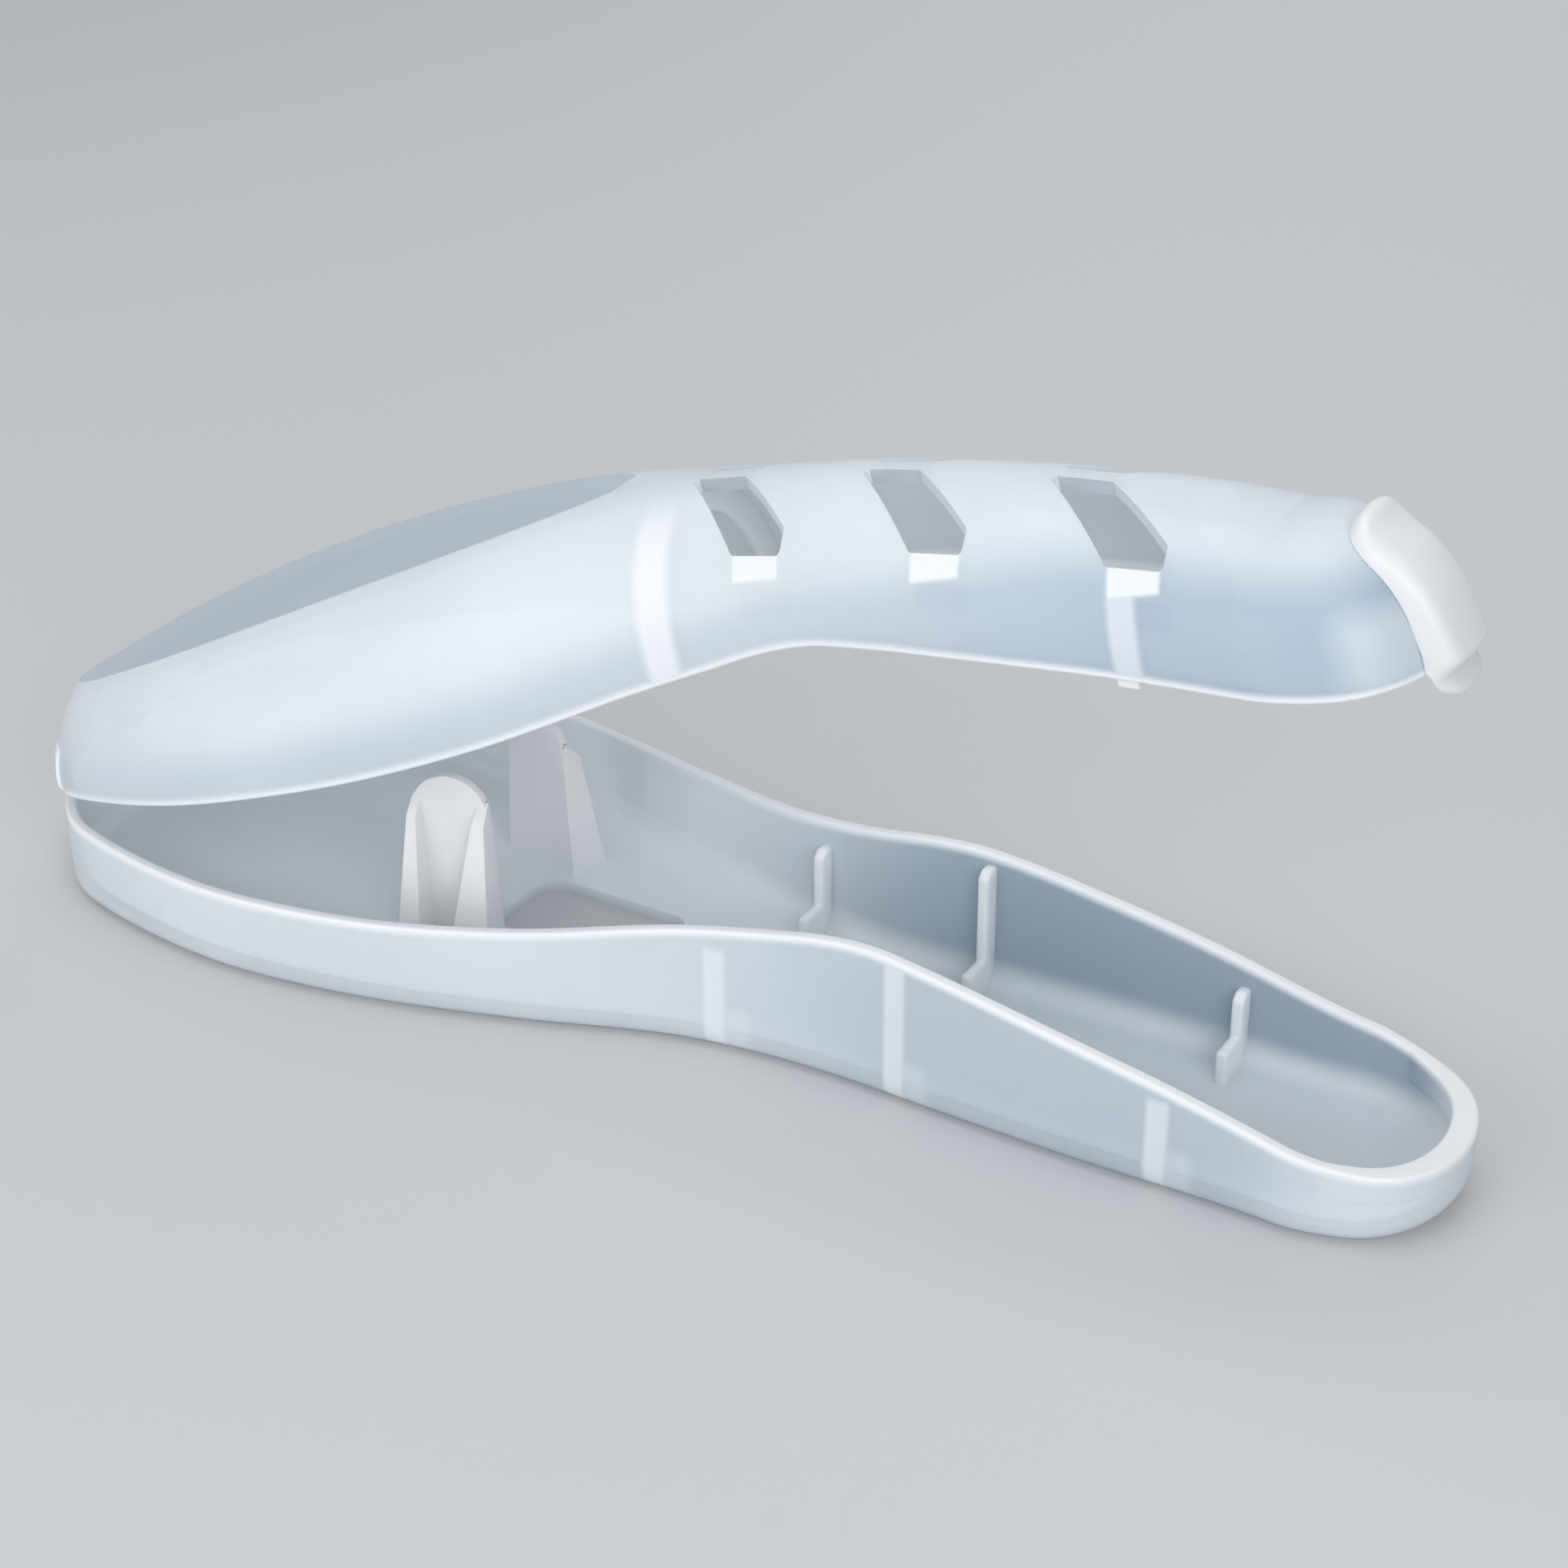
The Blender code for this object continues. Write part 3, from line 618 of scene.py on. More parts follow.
def repeatTree():
    # Copies of the given shape in a row along the case, and their mirror image
    tree = bpy.data.node_groups.new("repeatAlongCase", "GeometryNodeTree")
    for name, kind in (("Geometry", "Geometry"), ("Count", "Int"), ("Pitch", "Float"),
                       ("Material", "Material")):
        tree.interface.new_socket(name, in_out="INPUT", socket_type="NodeSocket" + kind)
    tree.interface.new_socket("Geometry", in_out="OUTPUT", socket_type="NodeSocketGeometry")
    given = tree.nodes.new("NodeGroupInput").outputs
    step = addNode(tree, "ShaderNodeCombineXYZ", X=given["Pitch"])
    line = addNode(tree, "GeometryNodeMeshLine", Count=given["Count"], Offset=step)
    row = addNode(tree, "GeometryNodeInstanceOnPoints", Points=line, Instance=given["Geometry"])
    mirrored = addNode(tree, "GeometryNodeTransform", _0=row, Scale=(1, -1, 1))
    turned = addNode(tree, "GeometryNodeFlipFaces", _0=mirrored)
    both = addNode(tree, "GeometryNodeJoinGeometry", _0=row)
    tree.links.new(turned, both.node.inputs[0])
    real = addNode(tree, "GeometryNodeRealizeInstances", _0=both)
    painted = addNode(tree, "GeometryNodeSetMaterial", _0=real, Material=given["Material"])
    tree.links.new(painted, tree.nodes.new("NodeGroupOutput").inputs[0])
    return tree


def runTree(thing, tree, values):
    change = thing.modifiers.new(tree.name, "NODES")
    change.node_group = tree
    for item in tree.interface.items_tree:
        if item.in_out == "INPUT" and item.name in values:
            change[item.identifier] = values[item.name]
    return applied(thing)


repeatAlong = repeatTree()

# Tray shell

trayForm = {
    "footFillet": 0.0028,
    "tailFillet": 0.0042,
    "tailFilletRun": 0.008,
    "innerFillet": 0.0020,
    "floor": 0.0015,
    "drainFrom": 0.060,
    "drainLength": 0.022,
    "drainHalf": 0.0065,
    "drainCorner": 0.003,
}


def traySide(inset, floor, fillet, top):
    # Rings from the middle of the floor, round the fillet and up the wall
    start = caseForm["length"] - trayForm["tailFilletRun"]
    fillet = np.interp(outlinePoints[:, 0], (start, caseForm["length"]),
                       (fillet, fillet + trayForm["tailFillet"] - trayForm["footFillet"]))
    foot = flatRing(inset + fillet, floor)
    line = np.column_stack([spineLine(), np.full(len(foot), floor)])
    rings = [line + (foot - line) * share for share in np.linspace(0, 1, fineness["floorSteps"] + 1)]
    for turn in np.linspace(0, quarterTurn, fineness["filletSteps"] + 1)[1:]:
        rings.append(flatRing(inset + fillet * (1 - math.sin(turn)), floor + fillet * (1 - math.cos(turn))))
    low = rings[-1][:, 2]
    return rings + [flatRing(inset, low + (top - low) * share) for share in fineness["wallShares"]]


def makeTray():
    form, wall = trayForm, caseForm["wall"]
    top = outlineSeam - halfGap
    outside = traySide(0, 0, form["footFillet"], top - caseForm["rimRound"])
    inside = traySide(wall, form["floor"], form["innerFillet"], top - caseForm["rimRound"])
    rings = outside + rimArc(0, 1, top, -1) + rimArc(wall, -1, top, -1)[::-1] + inside[::-1]
    shell = newObject(ringLoft("trayShell", rings))
    start, half = form["drainFrom"], form["drainHalf"]
    end = start + form["drainLength"]
    drain = roundedOutline([(start, -half), (end, -half), (end, half), (start, half)], form["drainCorner"])
    return carve(shell, [newObject(prismMesh("drainHole", drain, "Z", -form["floor"], form["floor"] * 2))])


tray = settle(makeTray(), trayPlace)
print("tray shell", len(tray.data.polygons), "faces")

# Cradle ribs

ribForm = {
    "back": (0.0879, 0.0646, 0.0318),
    "top": (0.0133, 0.0181, 0.0114),
    "thick": 0.0015,
    "depth": 0.0022,
    "footHigh": 0.0042,
    "footReach": 0.0060,
    "sink": 0.0006,
    "round": 0.00045,
    "topRound": 0.0009,
}


def ribOutline(wall, top):
    form = ribForm
    low, foot = trayForm["floor"] - form["sink"], trayForm["floor"] + form["footHigh"]
    inner, toe, outer = wall - form["depth"], wall - form["footReach"], wall + form["sink"]
    corner = trayForm["footFillet"] / 2
    return [(outer, low + corner), (outer - corner, low), (toe, low), (toe, foot), (inner, foot),
            (inner, top - form["topRound"]), (inner + form["topRound"], top), (outer, top)]


def makeRibs():
    half = ribForm["thick"] / 2
    made = []
    for back, top in zip(ribForm["back"], ribForm["top"]):
        x = caseForm["length"] - back
        wall = halfWidth(x) - caseForm["wall"]
        made.append(prismMesh("rib", ribOutline(wall, top), "X", x - half, x + half))
    row = softenEdges(joined("cradleRibs", made), ribForm["round"], segments=3, angle=40)
    return runTree(row, repeatAlong, {"Count": 1, "Material": ribPlastic})


# Posts at the head end

postForm = {
    "from": 0.0524,
    "halfSpan": 0.0099,
    "toeIn": 12.2,
    "width": 0.0100,
    "spread": 0.0011,
    "height": 0.0233,
    "arcSteps": 24,
    "plate": 0.0012,
    "wedgeTop": 0.0202,
    "wedgeDrop": 0.0022,
    "wedgeThick": ((0.0010, 0.0031), (0.0012, 0.0052)),  # at the top and at the floor, for each edge
    "wedgeOut": (0.0028, 0.0058),  # near the top and at the floor
    "sink": 0.0003,
    "round": 0.00035,
}


def postWedge(side, edge, inward, thickness, low):
    # Rib at one edge of the plate, thicker and deeper towards the floor
    form = postForm
    face, top, outs = form["plate"] / 2, form["wedgeTop"], form["wedgeOut"]
    rows = [[], []]
    for out, z in ((face, low), (outs[1], low), (outs[0], top - form["wedgeDrop"]), (face, top)):
        share = (top - z) / (top - low)
        x = edge - inward * form["spread"] * share
        thick = thickness[0] + (thickness[1] - thickness[0]) * share
        rows[0].append((x, out * side, z))
        rows[1].append((x + inward * thick, out * side, z))
    return newObject(cappedMesh("wedge", rows))


def makePost(name, side):
    form = postForm
    low = trayForm["floor"] - form["sink"]
    radius = form["width"] / 2
    arc = [(radius + radius * math.cos(t), form["height"] - radius + radius * math.sin(t))
           for t in np.linspace(0, math.pi, form["arcSteps"] + 1)]
    outline = [(-form["spread"], low), (form["width"] + form["spread"], low)] + arc
    plate = newObject(prismMesh(name, outline, "Y", 0, form["plate"] * side))
    left, right = form["wedgeThick"]
    wedges = [postWedge(side, 0, 1, left, low), postWedge(side, form["width"], -1, right, low)]
    softenEdges(carve(plate, wedges, "UNION"), form["round"], segments=3, angle=40)
    turn = Matrix.Rotation(-math.radians(form["toeIn"]) * side, 4, "Z")
    plate.data.transform(Matrix.Translation((form["from"], form["halfSpan"] * side, 0)) @ turn)
    return plate


ribs = settle(makeRibs(), trayPlace)
postNear = settle(makePost("postNear", -1), trayPlace)
postFar = settle(makePost("postFar", 1), trayPlace)
print("ribs and posts")

# Tail catch

catchForm = {
    "reach": 0.0125,
    "inside": 0.0030,
    "tall": 0.0032,
    "proud": 0.00005,
    "topProud": 0.00004,
    "bulgePower": 0.7,
    "endShare": 0.7,  # of the wall's thickness
    "rows": 9,
    "round": 0.0005,
}


def makeCatch():
    # Thick part of the tail wall that the tongue grips, thinning out to both sides
    form = catchForm
    start = caseForm["length"] - form["reach"]
    share = (outlinePoints[:, 0] - start) / form["reach"]
    around, bulge = share > 0, np.clip(share, 0, 1) ** form["bulgePower"]
    thin = caseForm["wall"] * form["endShare"]
    low = alongCase("seam", caseForm["length"]) - halfGap - form["tall"]
    top = outlineSeam - halfGap + form["topProud"]
    outer, inner = [], []
    for lift in np.linspace(0, 1, form["rows"]):
        height = low + (top - low) * lift
        outer.append(flatRing(-form["proud"] * bulge, height)[around])
        inner.append(flatRing(thin + (form["inside"] - thin) * bulge, height)[around])
    return softenEdges(newObject(closedSlab("tailCatch", outer, inner)), form["round"], segments=4)


catch = settle(makeCatch(), trayPlace)

# Lid shell with its vent slots


def makeLid():
    wall, form = caseForm["wall"], ventForm
    bottom = outlineSeam + halfGap
    outside, inside = domeSide(0), domeSide(wall)
    rings = inside[::-1] + rimArc(wall, -1, bottom, 1)[1:] + rimArc(0, 1, bottom, 1)[::-1][:-1] + outside
    shell = newObject(ringLoft("lidShell", rings))
    x = caseForm["length"] - form["back"] - form["pitch"] * (form["count"] - 1)
    outX = x + form["sweep"]
    slot = roundedOutline([
        (x, form["spineHalf"]), (x + form["topWide"], form["spineHalf"]),
        (outX + form["wide"], form["out"] - form["nose"]),
        (outX + form["wide"] - form["noseLean"], form["out"]), (outX, form["out"])], form["corner"])
    slots = newObject(prismMesh("ventSlots", slot, "Z", form["low"], form["high"]))
    runTree(slots, repeatAlong, {"Count": form["count"], "Pitch": form["pitch"]})
    return carve(shell, [slots])


lid = settle(makeLid(), lidPlace)
print("lid shell", len(lid.data.polygons), "faces")

# Pieces moulded on the inside of the lid

liningForm = {
    "sink": 0.0003,
    "archBack": 0.0870,
    "archThick": 0.0016,
    "archDepth": 0.0034,
    "archFrom": 0.02,  # radians over the seam
    "archRows": 40,
    "tabBack": 0.0300,
    "tabThick": 0.0024,
    "tabDepth": 0.0022,
    "tabTop": 0.0166,
    "tabBelow": 0.0016,
    "tabRound": 0.0006,
    "tabRows": 12,
    "sillLength": 0.0062,
    "sillThick": 0.0010,
    "sillTall": 0.0026,
    "sillRows": 10,
    "sillColumns": 8,
    "round": 0.0004,
    "belowSeam": 0.01,  # metres down for each radian under the seam
}


def domePoint(x, turn, inset, side):
    # Point of the dome on a given cross-section; below the seam the wall goes straight down
    power = sectionPower(x)
    seam = alongCase("seam", x)
    rise = alongCase("ridge", x) - inset - seam
    up = np.clip(turn, 0, quarterTurn)
    y = (halfWidth(x) - inset) * np.cos(up) ** (2 / power) * side
    z = np.minimum(seam + rise * np.sin(up) ** (2 / power), facetAt(x, inset))
    return np.stack([x, y, z + np.minimum(turn, 0) * liningForm["belowSeam"]], -1)


def domeHeight(x, across, inset):
    # Height of the dome at a distance from the middle line
    seam, power = alongCase("seam", x), sectionPower(x)
    share = across / (halfWidth(x) - inset)
    return seam + (alongCase("ridge", x) - inset - seam) * (1 - share ** power) ** (1 / power)


def turnAtHeight(x, height, inset):
    seam = alongCase("seam", x)
    if height <= seam:
        return (height - seam) / liningForm["belowSeam"]
    share = (height - seam) / (alongCase("ridge", x) - inset - seam)
    return math.asin(min(share, 1) ** (sectionPower(x) / 2))


def liningMesh(name, xs, around, insets):
    # Body that follows the wall: around holds the side and the turn of each row
    outer, inner = [[domePoint(xs, turn, inset, side) for side, turn in around] for inset in insets]
    return closedSlab(name, outer, inner)


def makeArch():
    form, wall = liningForm, caseForm["wall"]
    turns = np.linspace(form["archFrom"], quarterTurn, form["archRows"])
    around = [(-1, turn) for turn in turns] + [(1, turn) for turn in turns[::-1][1:]]
    x, half = caseForm["length"] - form["archBack"], form["archThick"] / 2
    rib = liningMesh("lidArch", np.linspace(x - half, x + half, 3), around,
                     (wall - form["sink"], wall + form["archDepth"]))
    return softenEdges(newObject(rib), form["round"])


def makeTab(name, side):
    form, wall = liningForm, caseForm["wall"]
    x, half = caseForm["length"] - form["tabBack"], form["tabThick"] / 2
    low = alongCase("seam", x) - form["tabBelow"]
    heights = np.linspace(low, form["tabTop"], form["tabRows"])
    around = [(side, turnAtHeight(x, height, wall)) for height in heights]
    tab = liningMesh(name, np.linspace(x - half, x + half, 3), around,
                     (wall + form["sink"], wall + form["tabDepth"]))
    return softenEdges(newObject(tab), form["tabRound"], segments=4)


def sillStarts():
    # Each sill begins where the outer end of its vent does
    first = caseForm["length"] - ventForm["back"] + ventForm["sweep"]
    return [first - ventForm["pitch"] * number for number in range(ventForm["count"])]


def makeSills():
    form, wall = liningForm, caseForm["wall"]
    made = []
    for start in sillStarts():
        middle = start + form["sillLength"] / 2
        top = domeHeight(middle, ventForm["out"] + form["sink"], wall)
        heights = np.linspace(top - form["sillTall"], top, form["sillRows"])
        around = [(1, turnAtHeight(middle, height, wall)) for height in heights]
        xs = np.linspace(start, start + form["sillLength"], form["sillColumns"])
        made.append(liningMesh("sill", xs, around, (wall - form["sink"], wall + form["sillThick"])))
    row = softenEdges(joined("ventSills", made), form["round"], segments=3)
    return runTree(row, repeatAlong, {"Count": 1, "Material": ribPlastic})


arch = settle(makeArch(), lidPlace)
tabNear = settle(makeTab("lidTabNear", -1), lidPlace)
tabFar = settle(makeTab("lidTabFar", 1), lidPlace)
sills = settle(makeSills(), lidPlace)
print("lid lining")

# Hinge: a band round the lid's hinge end and the thin strip that bends

hingeForm = {
    "proud": 0.0004,
    "sink": 0.0005,
    "reach": 0.0095,
    "tall": 0.0050,
    "edgePower": 8,
    "leafRows": 9,
    "leafRound": 0.0002,
    "stripHalf": 0.0078,
    "stripThick": 0.00045,
    "stripReach": 0.0011,
    "stripRows": 15,
    "stripColumns": 9,
    "stripRound": 0.00012,
    "bendHalf": 0.0008,
}


def makeLeaf():
    form, gap = hingeForm, caseForm["seamGap"]
    order = np.roll(np.arange(len(outlinePoints)), len(outlinePoints) // 2)
    keep = order[outlinePoints[order, 0] <= form["reach"]]
    tall = form["tall"] + alongCase("seam", 0) - outlineSeam
    outer, inner = [], []
    for share in np.linspace(0, 1, form["leafRows"]):
        turn = startTurn(0, gap + share * (tall - gap))
        proud = form["proud"] * (1 - (2 * share - 1) ** form["edgePower"])
        outer.append(domeRing(-proud, turn)[keep])
        inner.append(domeRing(form["sink"], turn)[keep])
        outer[-1][:, 2] = inner[-1][:, 2]
    return softenEdges(newObject(closedSlab("hingeLeaf", outer, inner)), form["leafRound"])


def makeStrip():
    # Thin web outside the two rims, bulging where it will bend
    form = hingeForm
    seam = alongCase("seam", 0)
    ys = np.linspace(-form["stripHalf"], form["stripHalf"], form["stripColumns"])
    half = form["stripThick"] / 2
    outer, inner = [], []
    for share in np.linspace(-1, 1, form["stripRows"]):
        bulge = math.cos(share * quarterTurn) * (hingePoint.x + caseForm["length"] / 2)
        z = seam + share * form["stripReach"]
        outer.append([(bulge - half, y, z) for y in ys])
        inner.append([(bulge + half, y, z) for y in ys])
    return softenEdges(newObject(closedSlab("hingeStrip", outer, inner)), form["stripRound"])


leaf = settle(makeLeaf(), lidPlace)
print("hinge")

# Snap tongue: one band from its root on the lid, past the lip, to the toe below the seam

tongueForm = {
    "half": 0.0055,
    "toeRound": 0.0042,
    "toeFrom": 0.05,  # radians of the toe's arc
    "rootRound": 0.0030,
    "rootFull": 0.98,
    "rootPower": 1.4,
    "gap": 0.00008,
    "clear": 0.00050,
    "rootBack": 0.0068,
    "profile": ((-0.0037, 0.0012), (-0.0032, 0.0015), (-0.0020, 0.0017), (-0.0009, 0.0011), (0.0009, 0.0028),
                (0.0024, 0.0027)),  # height over the seam, and how far out
    "domeOut": ((11.25, 0.0025), (22.5, 0.0021), (33.75, 0.0017), (45.0, 0.0014), (51.0, 0.0016),
                (57.0, 0.0022), (64.0, 0.0025), (90.0, 0.0025)),  # degrees up the dome
    "domeTurns": (18.0, 86.0, 60),  # first and last in degrees, and how many
    "toeRows": 12,
    "neckRows": 16,
    "rootRows": 42,
    "across": 24,
    "edge": 0.0018,
    "rootEdge": 0.00126,
    "toeEdge": 0.00108,
    "edgeLeast": 0.07,  # of the thickness, left at the very edge
    "tailFrom": 0.75,  # of the case's length
    "leastStep": 0.000001,
    "round": 0.00012,
    "bendHalf": 0.0012,
}


def tailCurve(ring, ys):
    # x and z of a ring at the given distances across, on its tail end
    tail = ring[ring[:, 0] > caseForm["length"] * tongueForm["tailFrom"]]
    tail = tail[np.argsort(tail[:, 1])]
    tail = tail[np.concatenate([[True], np.diff(tail[:, 1]) > tongueForm["leastStep"]])]
    return np.interp(ys, tail[:, 1], tail[:, 0]), np.interp(ys, tail[:, 1], tail[:, 2])


def roundedEnd(distance, radius):
    # Thickness share of an edge that is rounded over the given distance
    share, least = np.clip(distance / radius, 0, 1), tongueForm["edgeLeast"]
    return np.sqrt(1 - (1 - share) ** 2) * (1 - least) + least


def tongueRings(lifts, turns):
    # The outer and the inner ring of each row, level up to the lip and on the dome past it
    form = tongueForm
    rings = []
    for lift, out in zip(lifts, smoothThrough(form["profile"], lifts)):
        inset = form["clear"] if lift < caseForm["seamGap"] else form["gap"]
        rings.append((flatRing(-out, outlineSeam + lift), flatRing(-inset, outlineSeam + lift)))
    for turn, out in zip(turns, smoothThrough(form["domeOut"], np.degrees(turns))):
        rings.append((domeRing(-out, turn, facet=False), domeRing(-form["gap"], turn, facet=False)))
    return rings


def endedAtRoot(grid, first, ends):
    # The rows past the lip are spread anew, so that each column stops at its own end
    form = tongueForm
    shares = 1 - (1 - np.linspace(0, 1, form["rootRows"])) ** form["rootPower"]
    old = np.arange(len(grid) - first)
    root = [[np.interp(shares * end, old, line) for line in grid[first:, j].T] for j, end in enumerate(ends)]
    return np.concatenate([grid[:first], np.transpose(root, (2, 0, 1))])


def makeTongue():
    form = tongueForm
    bottom, lip = form["profile"][0][0], form["profile"][-1][0]
    toeTurns = np.linspace(form["toeFrom"], quarterTurn, form["toeRows"])
    toe = bottom + form["toeRound"] * (1 - np.cos(toeTurns))
    lifts = np.concatenate([toe, np.linspace(toe[-1], lip, form["neckRows"])[1:]])
    turns = np.radians(np.linspace(*form["domeTurns"]))
    across = np.sin(np.linspace(-quarterTurn, quarterTurn, form["across"] + 1))
    grids = [[], []]
    for i, rings in enumerate(tongueRings(lifts, turns)):
        rise = 1 - (lifts[i] - bottom) / form["toeRound"] if i < len(lifts) else 0
        ys = across * form["half"] * math.sqrt(1 - max(rise, 0) ** 2)
        for grid, ring in zip(grids, rings):
            x, z = tailCurve(ring, ys)
            grid.append(np.column_stack([x, ys, z]))
    outer, inner = np.array(grids)
    # The root ends on a rounded outline
    first, radius = len(lifts), form["rootRound"]
    over = np.clip((np.abs(across) - 1) * form["half"] + radius, 0, radius * form["rootFull"])
    rootX = caseForm["length"] - form["rootBack"] + radius - np.sqrt(radius ** 2 - over ** 2)
    rows = np.arange(len(turns))
    ends = [np.interp(-rootX[j], -inner[first:, j, 0], rows) for j in range(len(across))]
    outer, inner = endedAtRoot(outer, first, ends), endedAtRoot(inner, first, ends)
    aside = np.abs(inner[:, :, 1])
    full = np.minimum(roundedEnd(aside.max(axis=1)[:, None] - aside, form["edge"]),
                      roundedEnd(inner[:, :, 0] - rootX, form["rootEdge"]))
    full[:first] = np.minimum(full[:first], roundedEnd(lifts - bottom, form["toeEdge"])[:, None])
    outer = inner + (outer - inner) * full[:, :, None]
    return softenEdges(newObject(closedSlab("latchTongue", outer, inner)), form["round"], angle=55)


tongue = settle(makeTongue(), lidPlace)
print("snap tongue")

# What shows through the shells, and the painted light and shade on them. Places are in millimetres, and a
# pair is where a fade begins and ends.

trayBands = {
    "ribShift": 1.3,
    "ribHalf": 0.85,
    "ribFade": 0.9,
    "ribTop": (1.7, 0.2),
    "ribShare": 0.60,
    "footReach": 3.4,
    "footFade": 1.8,
    "footTop": (7.4, 5.4),
    "footShare": 0.26,
    "outerHead": (80.0, 135.0),
    "outerTail": (178.0, 160.0),
    "outerShare": 0.55,
    "innerHead": (55.0, 125.0),
    "innerTail": (184.0, 174.0),
    "innerLow": 0.4,
    "innerRise": (2.5, 6.0),
    "innerShare": 0.95,
}
lidBands = {
    "archShift": 1.2,
    "archHalf": 1.2,
    "archFade": 1.7,
    "archAcross": (4.0, 11.0),
    "archShare": 0.85,
    "tabShift": 1.5,
    "tabHalf": 1.0,
    "tabFade": 1.1,
    "tabAcross": (10.0, 12.5),
    "tabShare": 0.62,
    "tailBack": (9.0, 4.0),
    "tailAbove": (10.5, 6.0),
    "tailSheenShare": 0.45,
    "sillShort": 0.5,
    "sillAcross": 0.3,
    "sillTall": 2.1,
    "sillFade": 0.6,
    "sillShare": 0.9,
    "lowAbove": (9.0, 3.0),
    "lowRaised": 6.0,
    "lowHead": (15.0, 60.0),
    "lowTail": (105.0, 165.0),
    "lowShares": (0.2, 0.25, 0.5),  # everywhere, past the head, at the tail
    "tailShade": 0.12,
    "shadeShare": 0.95,
}


def rimMask(paint):
    # 1 along the seam on both halves, where a painted highlight whitens the rim
    return paint.band(paint.casePlace()[2], 0.0, frostedLook["rimFull"], frostedLook["rimFade"])


def trayThickAndHighlight(paint):
    # Whiter outside where the ribs stand behind the wall, and a painted highlight along the rim
    look, half = trayBands, trayBands["footReach"] / 2
    x, height = paint.casePlace()[0], paint.mark("caseHeight")
    ribbed = []
    for back, top in zip(ribForm["back"], ribForm["top"]):
        middle = (caseForm["length"] - back) * millimetres + look["ribShift"]
        fades = [top * millimetres + over for over in look["ribTop"]]
        upright = paint.band(x, middle, look["ribHalf"], look["ribFade"]) * paint.smooth(height, *fades)
        foot = paint.band(x, middle + half, half, look["footFade"]) * paint.smooth(height, *look["footTop"])
        ribbed += [upright * look["ribShare"], foot * look["footShare"]]
    return paint.either(rimMask(paint), paint.either(*ribbed) * (1 - paint.mark("inside")))


def trayPaintedShade(paint):
    # Painted shade: a little bluer outside from the waist to the tail, darker on the inner walls there
    look, x, inside = trayBands, paint.casePlace()[0], paint.mark("inside")
    outer = paint.smooth(x, *look["outerHead"]) * paint.smooth(x, *look["outerTail"]) * (1 - inside)
    walls = paint.smooth(x, *look["innerHead"]) * paint.smooth(x, *look["innerTail"]) * inside
    rise = paint.smooth(paint.mark("caseHeight"), *look["innerRise"])
    inner = walls * (look["innerLow"] + (1 - look["innerLow"]) * rise)
    return paint.either(outer * look["outerShare"], inner * look["innerShare"])


def lidThickAndHighlight(paint):
    # Whiter at the arch, the tabs and the sills behind the wall; painted sheen beside the tongue and a
    # painted highlight along the rim
    look, length = lidBands, caseForm["length"] * millimetres
    x, across, above = paint.casePlace()
    bands = [rimMask(paint)]
    for part in ("arch", "tab"):
        middle = length - liningForm[part + "Back"] * millimetres + look[part + "Shift"]
        band = paint.band(x, middle, look[part + "Half"], look[part + "Fade"])
        bands.append(band * paint.smooth(across, *look[part + "Across"]) * look[part + "Share"])
    # Painted sheen on the tail beside the tongue
    beside = paint.smooth(x, *[length - back for back in look["tailBack"]])
    bands.append(beside * paint.smooth(above, *look["tailAbove"]) * look["tailSheenShare"])
    height, out = paint.mark("caseHeight"), ventForm["out"] * millimetres
    half = liningForm["sillLength"] / 2
    for start in sillStarts():
        middle = start + half
        sill = paint.band(x, middle * millimetres, half * millimetres - look["sillShort"], look["sillFade"])
        sill = sill * paint.smooth(across, out - look["sillAcross"], out)
        low = domeHeight(middle, ventForm["out"], 0) * millimetres - look["sillTall"]
        bands.append(sill * paint.smooth(height, low - look["sillFade"], low) * look["sillShare"])
    return paint.either(*bands)


def lidPaintedShade(paint):
    # Painted shade: bluer low on the side, more so towards the tail
    look = lidBands
    x, _, above = paint.casePlace()
    tailward = paint.smooth(x, *look["lowTail"])
    low = paint.smooth(above - look["lowRaised"] * tailward, *look["lowAbove"])
    anywhere, pastHead, atTail = look["lowShares"]
    share = anywhere + pastHead * paint.smooth(x, *look["lowHead"]) + atTail * tailward
    return (low * share + look["tailShade"] * tailward) * (1 - paint.mark("inside")) * look["shadeShare"]


# Dressing: materials, bodies and the nodes that each piece stands for


def dress(thing, material, nodes):
    thing.data.materials.clear()
    thing.data.materials.append(material)
    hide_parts(*nodes)


def pairsOf(stem):
    return [f"{stem}_{number}_{side}" for number in (1, 2, 3) for side in ("near", "far")]


trayPlastic = frostedPlastic("frostedTray", frostedLook, trayThickAndHighlight, trayPaintedShade)
lidPlastic = frostedPlastic("frostedLid", lidLook, lidThickAndHighlight, lidPaintedShade)
for thing, plastic, body, nodes in (
        (tray, trayPlastic, "tray", ["base_tray"]),
        (lid, lidPlastic, "lid", ["lid_shell"]),
        (ribs, ribPlastic, "tray", pairsOf("cradle_rib")),
        (postNear, postPlastic, "tray", ["post_near"]),
        (postFar, postPlastic, "tray", ["post_far"]),
        (catch, trayPlastic, "tray", ["tail_catch"]),
        (arch, ribPlastic, "lid", ["lid_arch"]),
        (tabNear, ribPlastic, "lid", ["lid_tab_near"]),
        (tabFar, ribPlastic, "lid", ["lid_tab_far"]),
        (sills, ribPlastic, "lid", pairsOf("vent_sill")),
        (leaf, ribPlastic, "lid", ["hinge_leaf"])):
    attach(thing, body)
    dress(thing, plastic, nodes)

# The tongue and the strip stay out of the two bodies, with their places baked into their meshes
dress(tongue, latchPlastic, ["latch_root", "latch_tongue"])
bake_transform(tongue)

strip = makeStrip()
strip.data.transform(trayPlace)
dress(strip, ribPlastic, ["hinge_film"])
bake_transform(strip)
print("dressed")

# Floor, light and camera

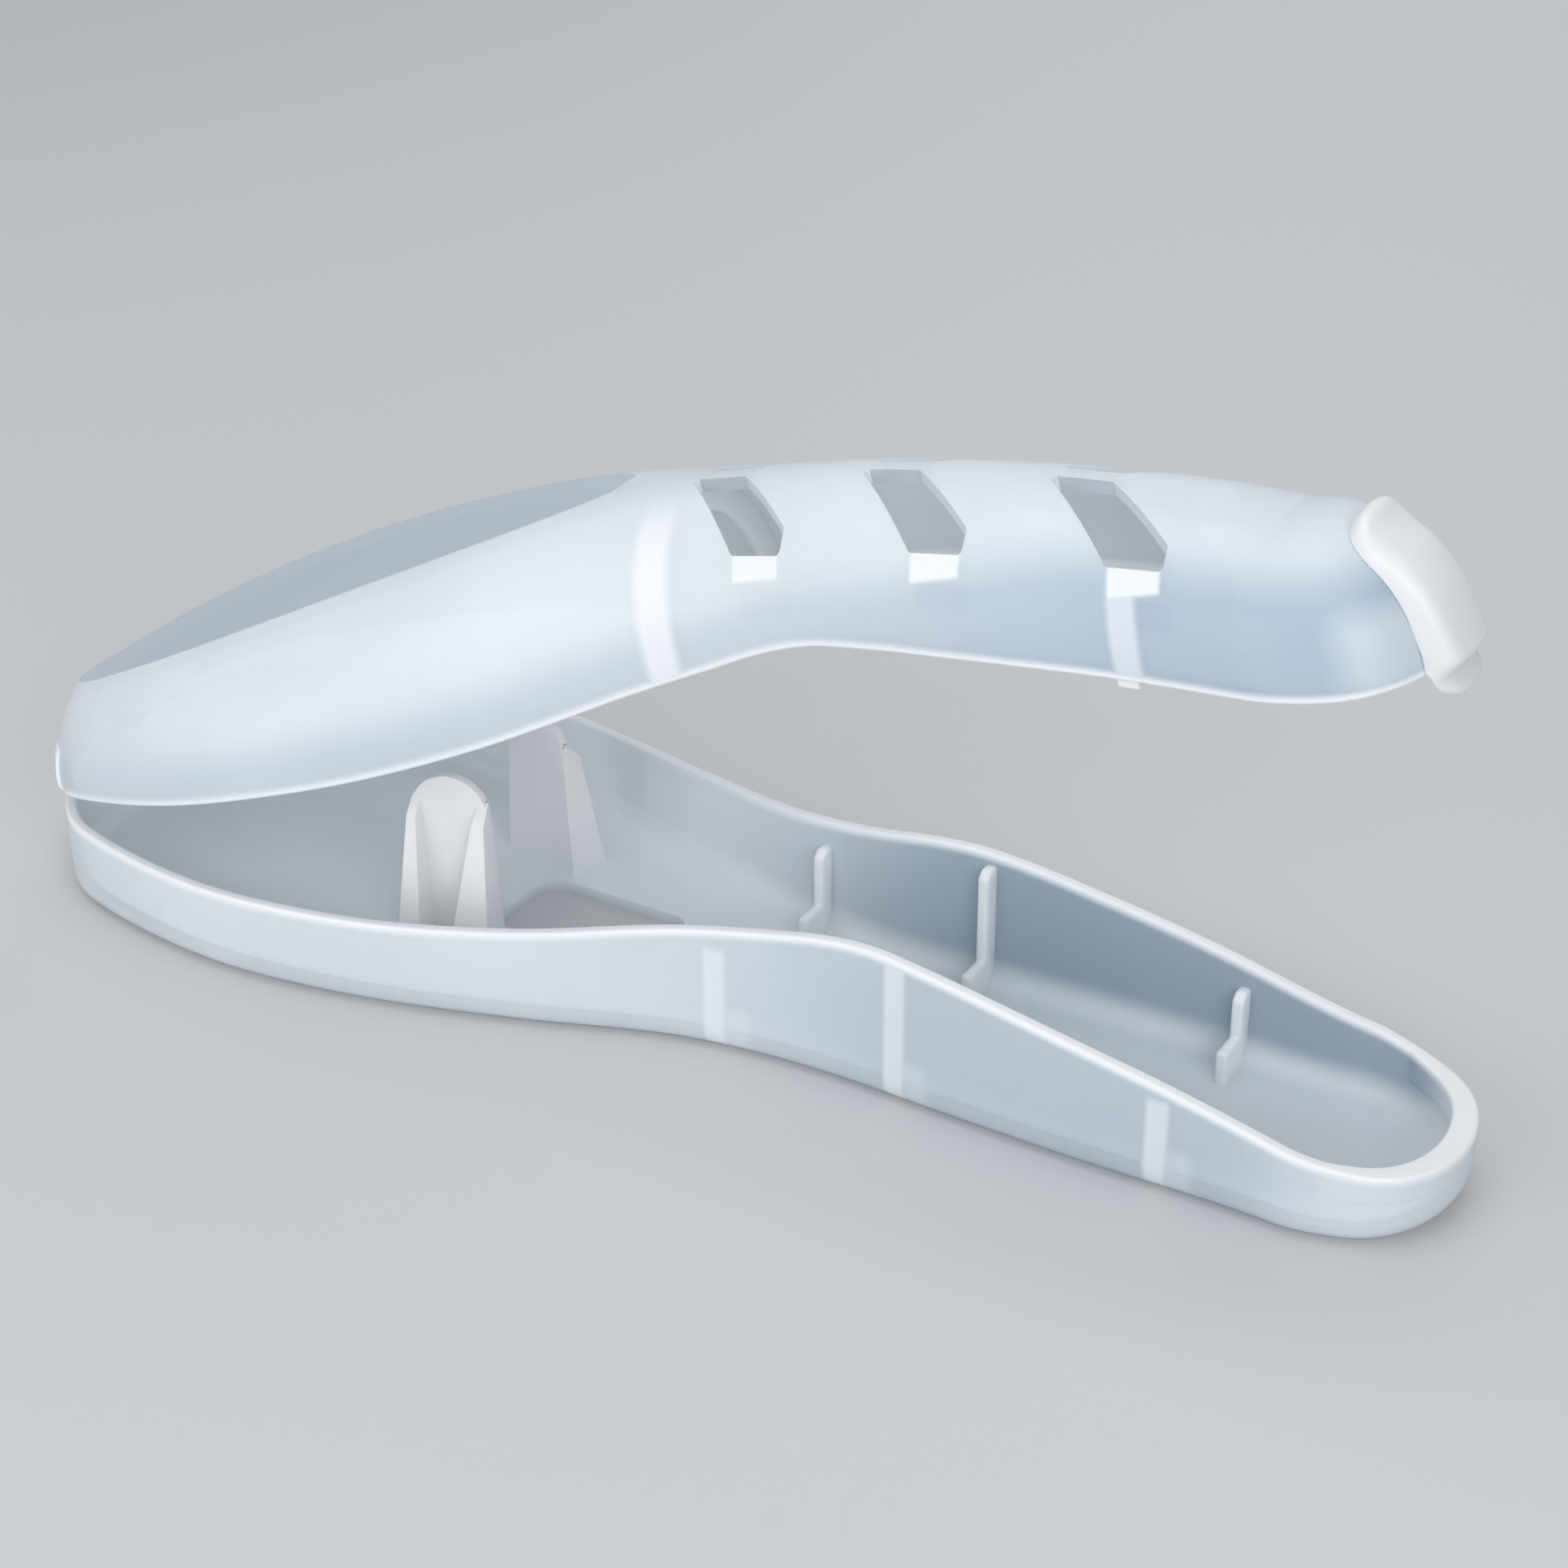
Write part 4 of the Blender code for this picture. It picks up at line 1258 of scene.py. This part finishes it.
stageLook = {
    "floor": (0.62, 0.63, 0.64),
    "floorRoughness": 0.6,
    "floorSize": 6.0,
    "world": (0.93, 0.96, 1.0),
    "worldStrength": 0.42,
    "lampAim": (0.0, 0.0, 0.03),
    "lamps": (  # name, place, size, power, colour
        ("keyLight", (-0.22, -0.70, 0.24), 0.60, 2.0, (1.0, 0.99, 0.98)),
        ("fillLight", (0.54, -0.52, 0.40), 0.50, 2.5, (0.97, 0.98, 1.0)),
        ("topLight", (-0.10, 0.00, 0.75), 0.60, 1.8, (1.0, 1.0, 1.0)),
        ("backLight", (-0.10, 0.70, 0.38), 0.60, 0.8, (0.97, 0.98, 1.0)),
    ),
}
cameraView = {
    "target": (-0.0278936, 0.0579653, -0.0088391),
    "yaw": 30.815668,
    "elevation": 29.412785,
    "roll": -0.378407,
    "distance": 0.4400046,
    "lens": 71.187807,
    "clipStart": 0.01,
}


def makeStage():
    bm = bmesh.new()
    bmesh.ops.create_grid(bm, x_segments=1, y_segments=1, size=stageLook["floorSize"] / 2)
    floor = newObject(meshFromBm(bm, "floor"))
    floor.data.materials.append(Paint("paleFloor").coat({
        "Base Color": (*stageLook["floor"], 1), "Roughness": stageLook["floorRoughness"]}))
    scene.world = bpy.data.worlds.new("softSky")
    scene.world.use_nodes = True
    sky = scene.world.node_tree.nodes["Background"]
    sky.inputs["Color"].default_value = (*stageLook["world"], 1)
    sky.inputs["Strength"].default_value = stageLook["worldStrength"]
    for name, place, size, power, colour in stageLook["lamps"]:
        lamp = bpy.data.lights.new(name, "AREA")
        lamp.size, lamp.energy, lamp.color = size, power, colour
        thing = newObject(lamp)
        thing.location = place
        aim = Vector(stageLook["lampAim"]) - Vector(place)
        thing.rotation_euler = aim.to_track_quat("-Z", "Y").to_euler()


def makeCamera():
    # Turned about the target, then moved back along its own axis
    yaw, rise, roll = (math.radians(cameraView[key]) for key in ("yaw", "elevation", "roll"))
    turn = (Matrix.Rotation(yaw, 4, "Z") @ Matrix.Rotation(quarterTurn - rise, 4, "X")
            @ Matrix.Rotation(roll, 4, "Z"))
    camera = bpy.data.cameras.new("camera")
    camera.lens, camera.clip_start = cameraView["lens"], cameraView["clipStart"]
    thing = newObject(camera)
    thing.matrix_world = (Matrix.Translation(cameraView["target"]) @ turn
                          @ Matrix.Translation((0, 0, cameraView["distance"])))
    scene.camera = thing


makeStage()
makeCamera()
scene.view_settings.view_transform = "Standard"
print("stage and camera")
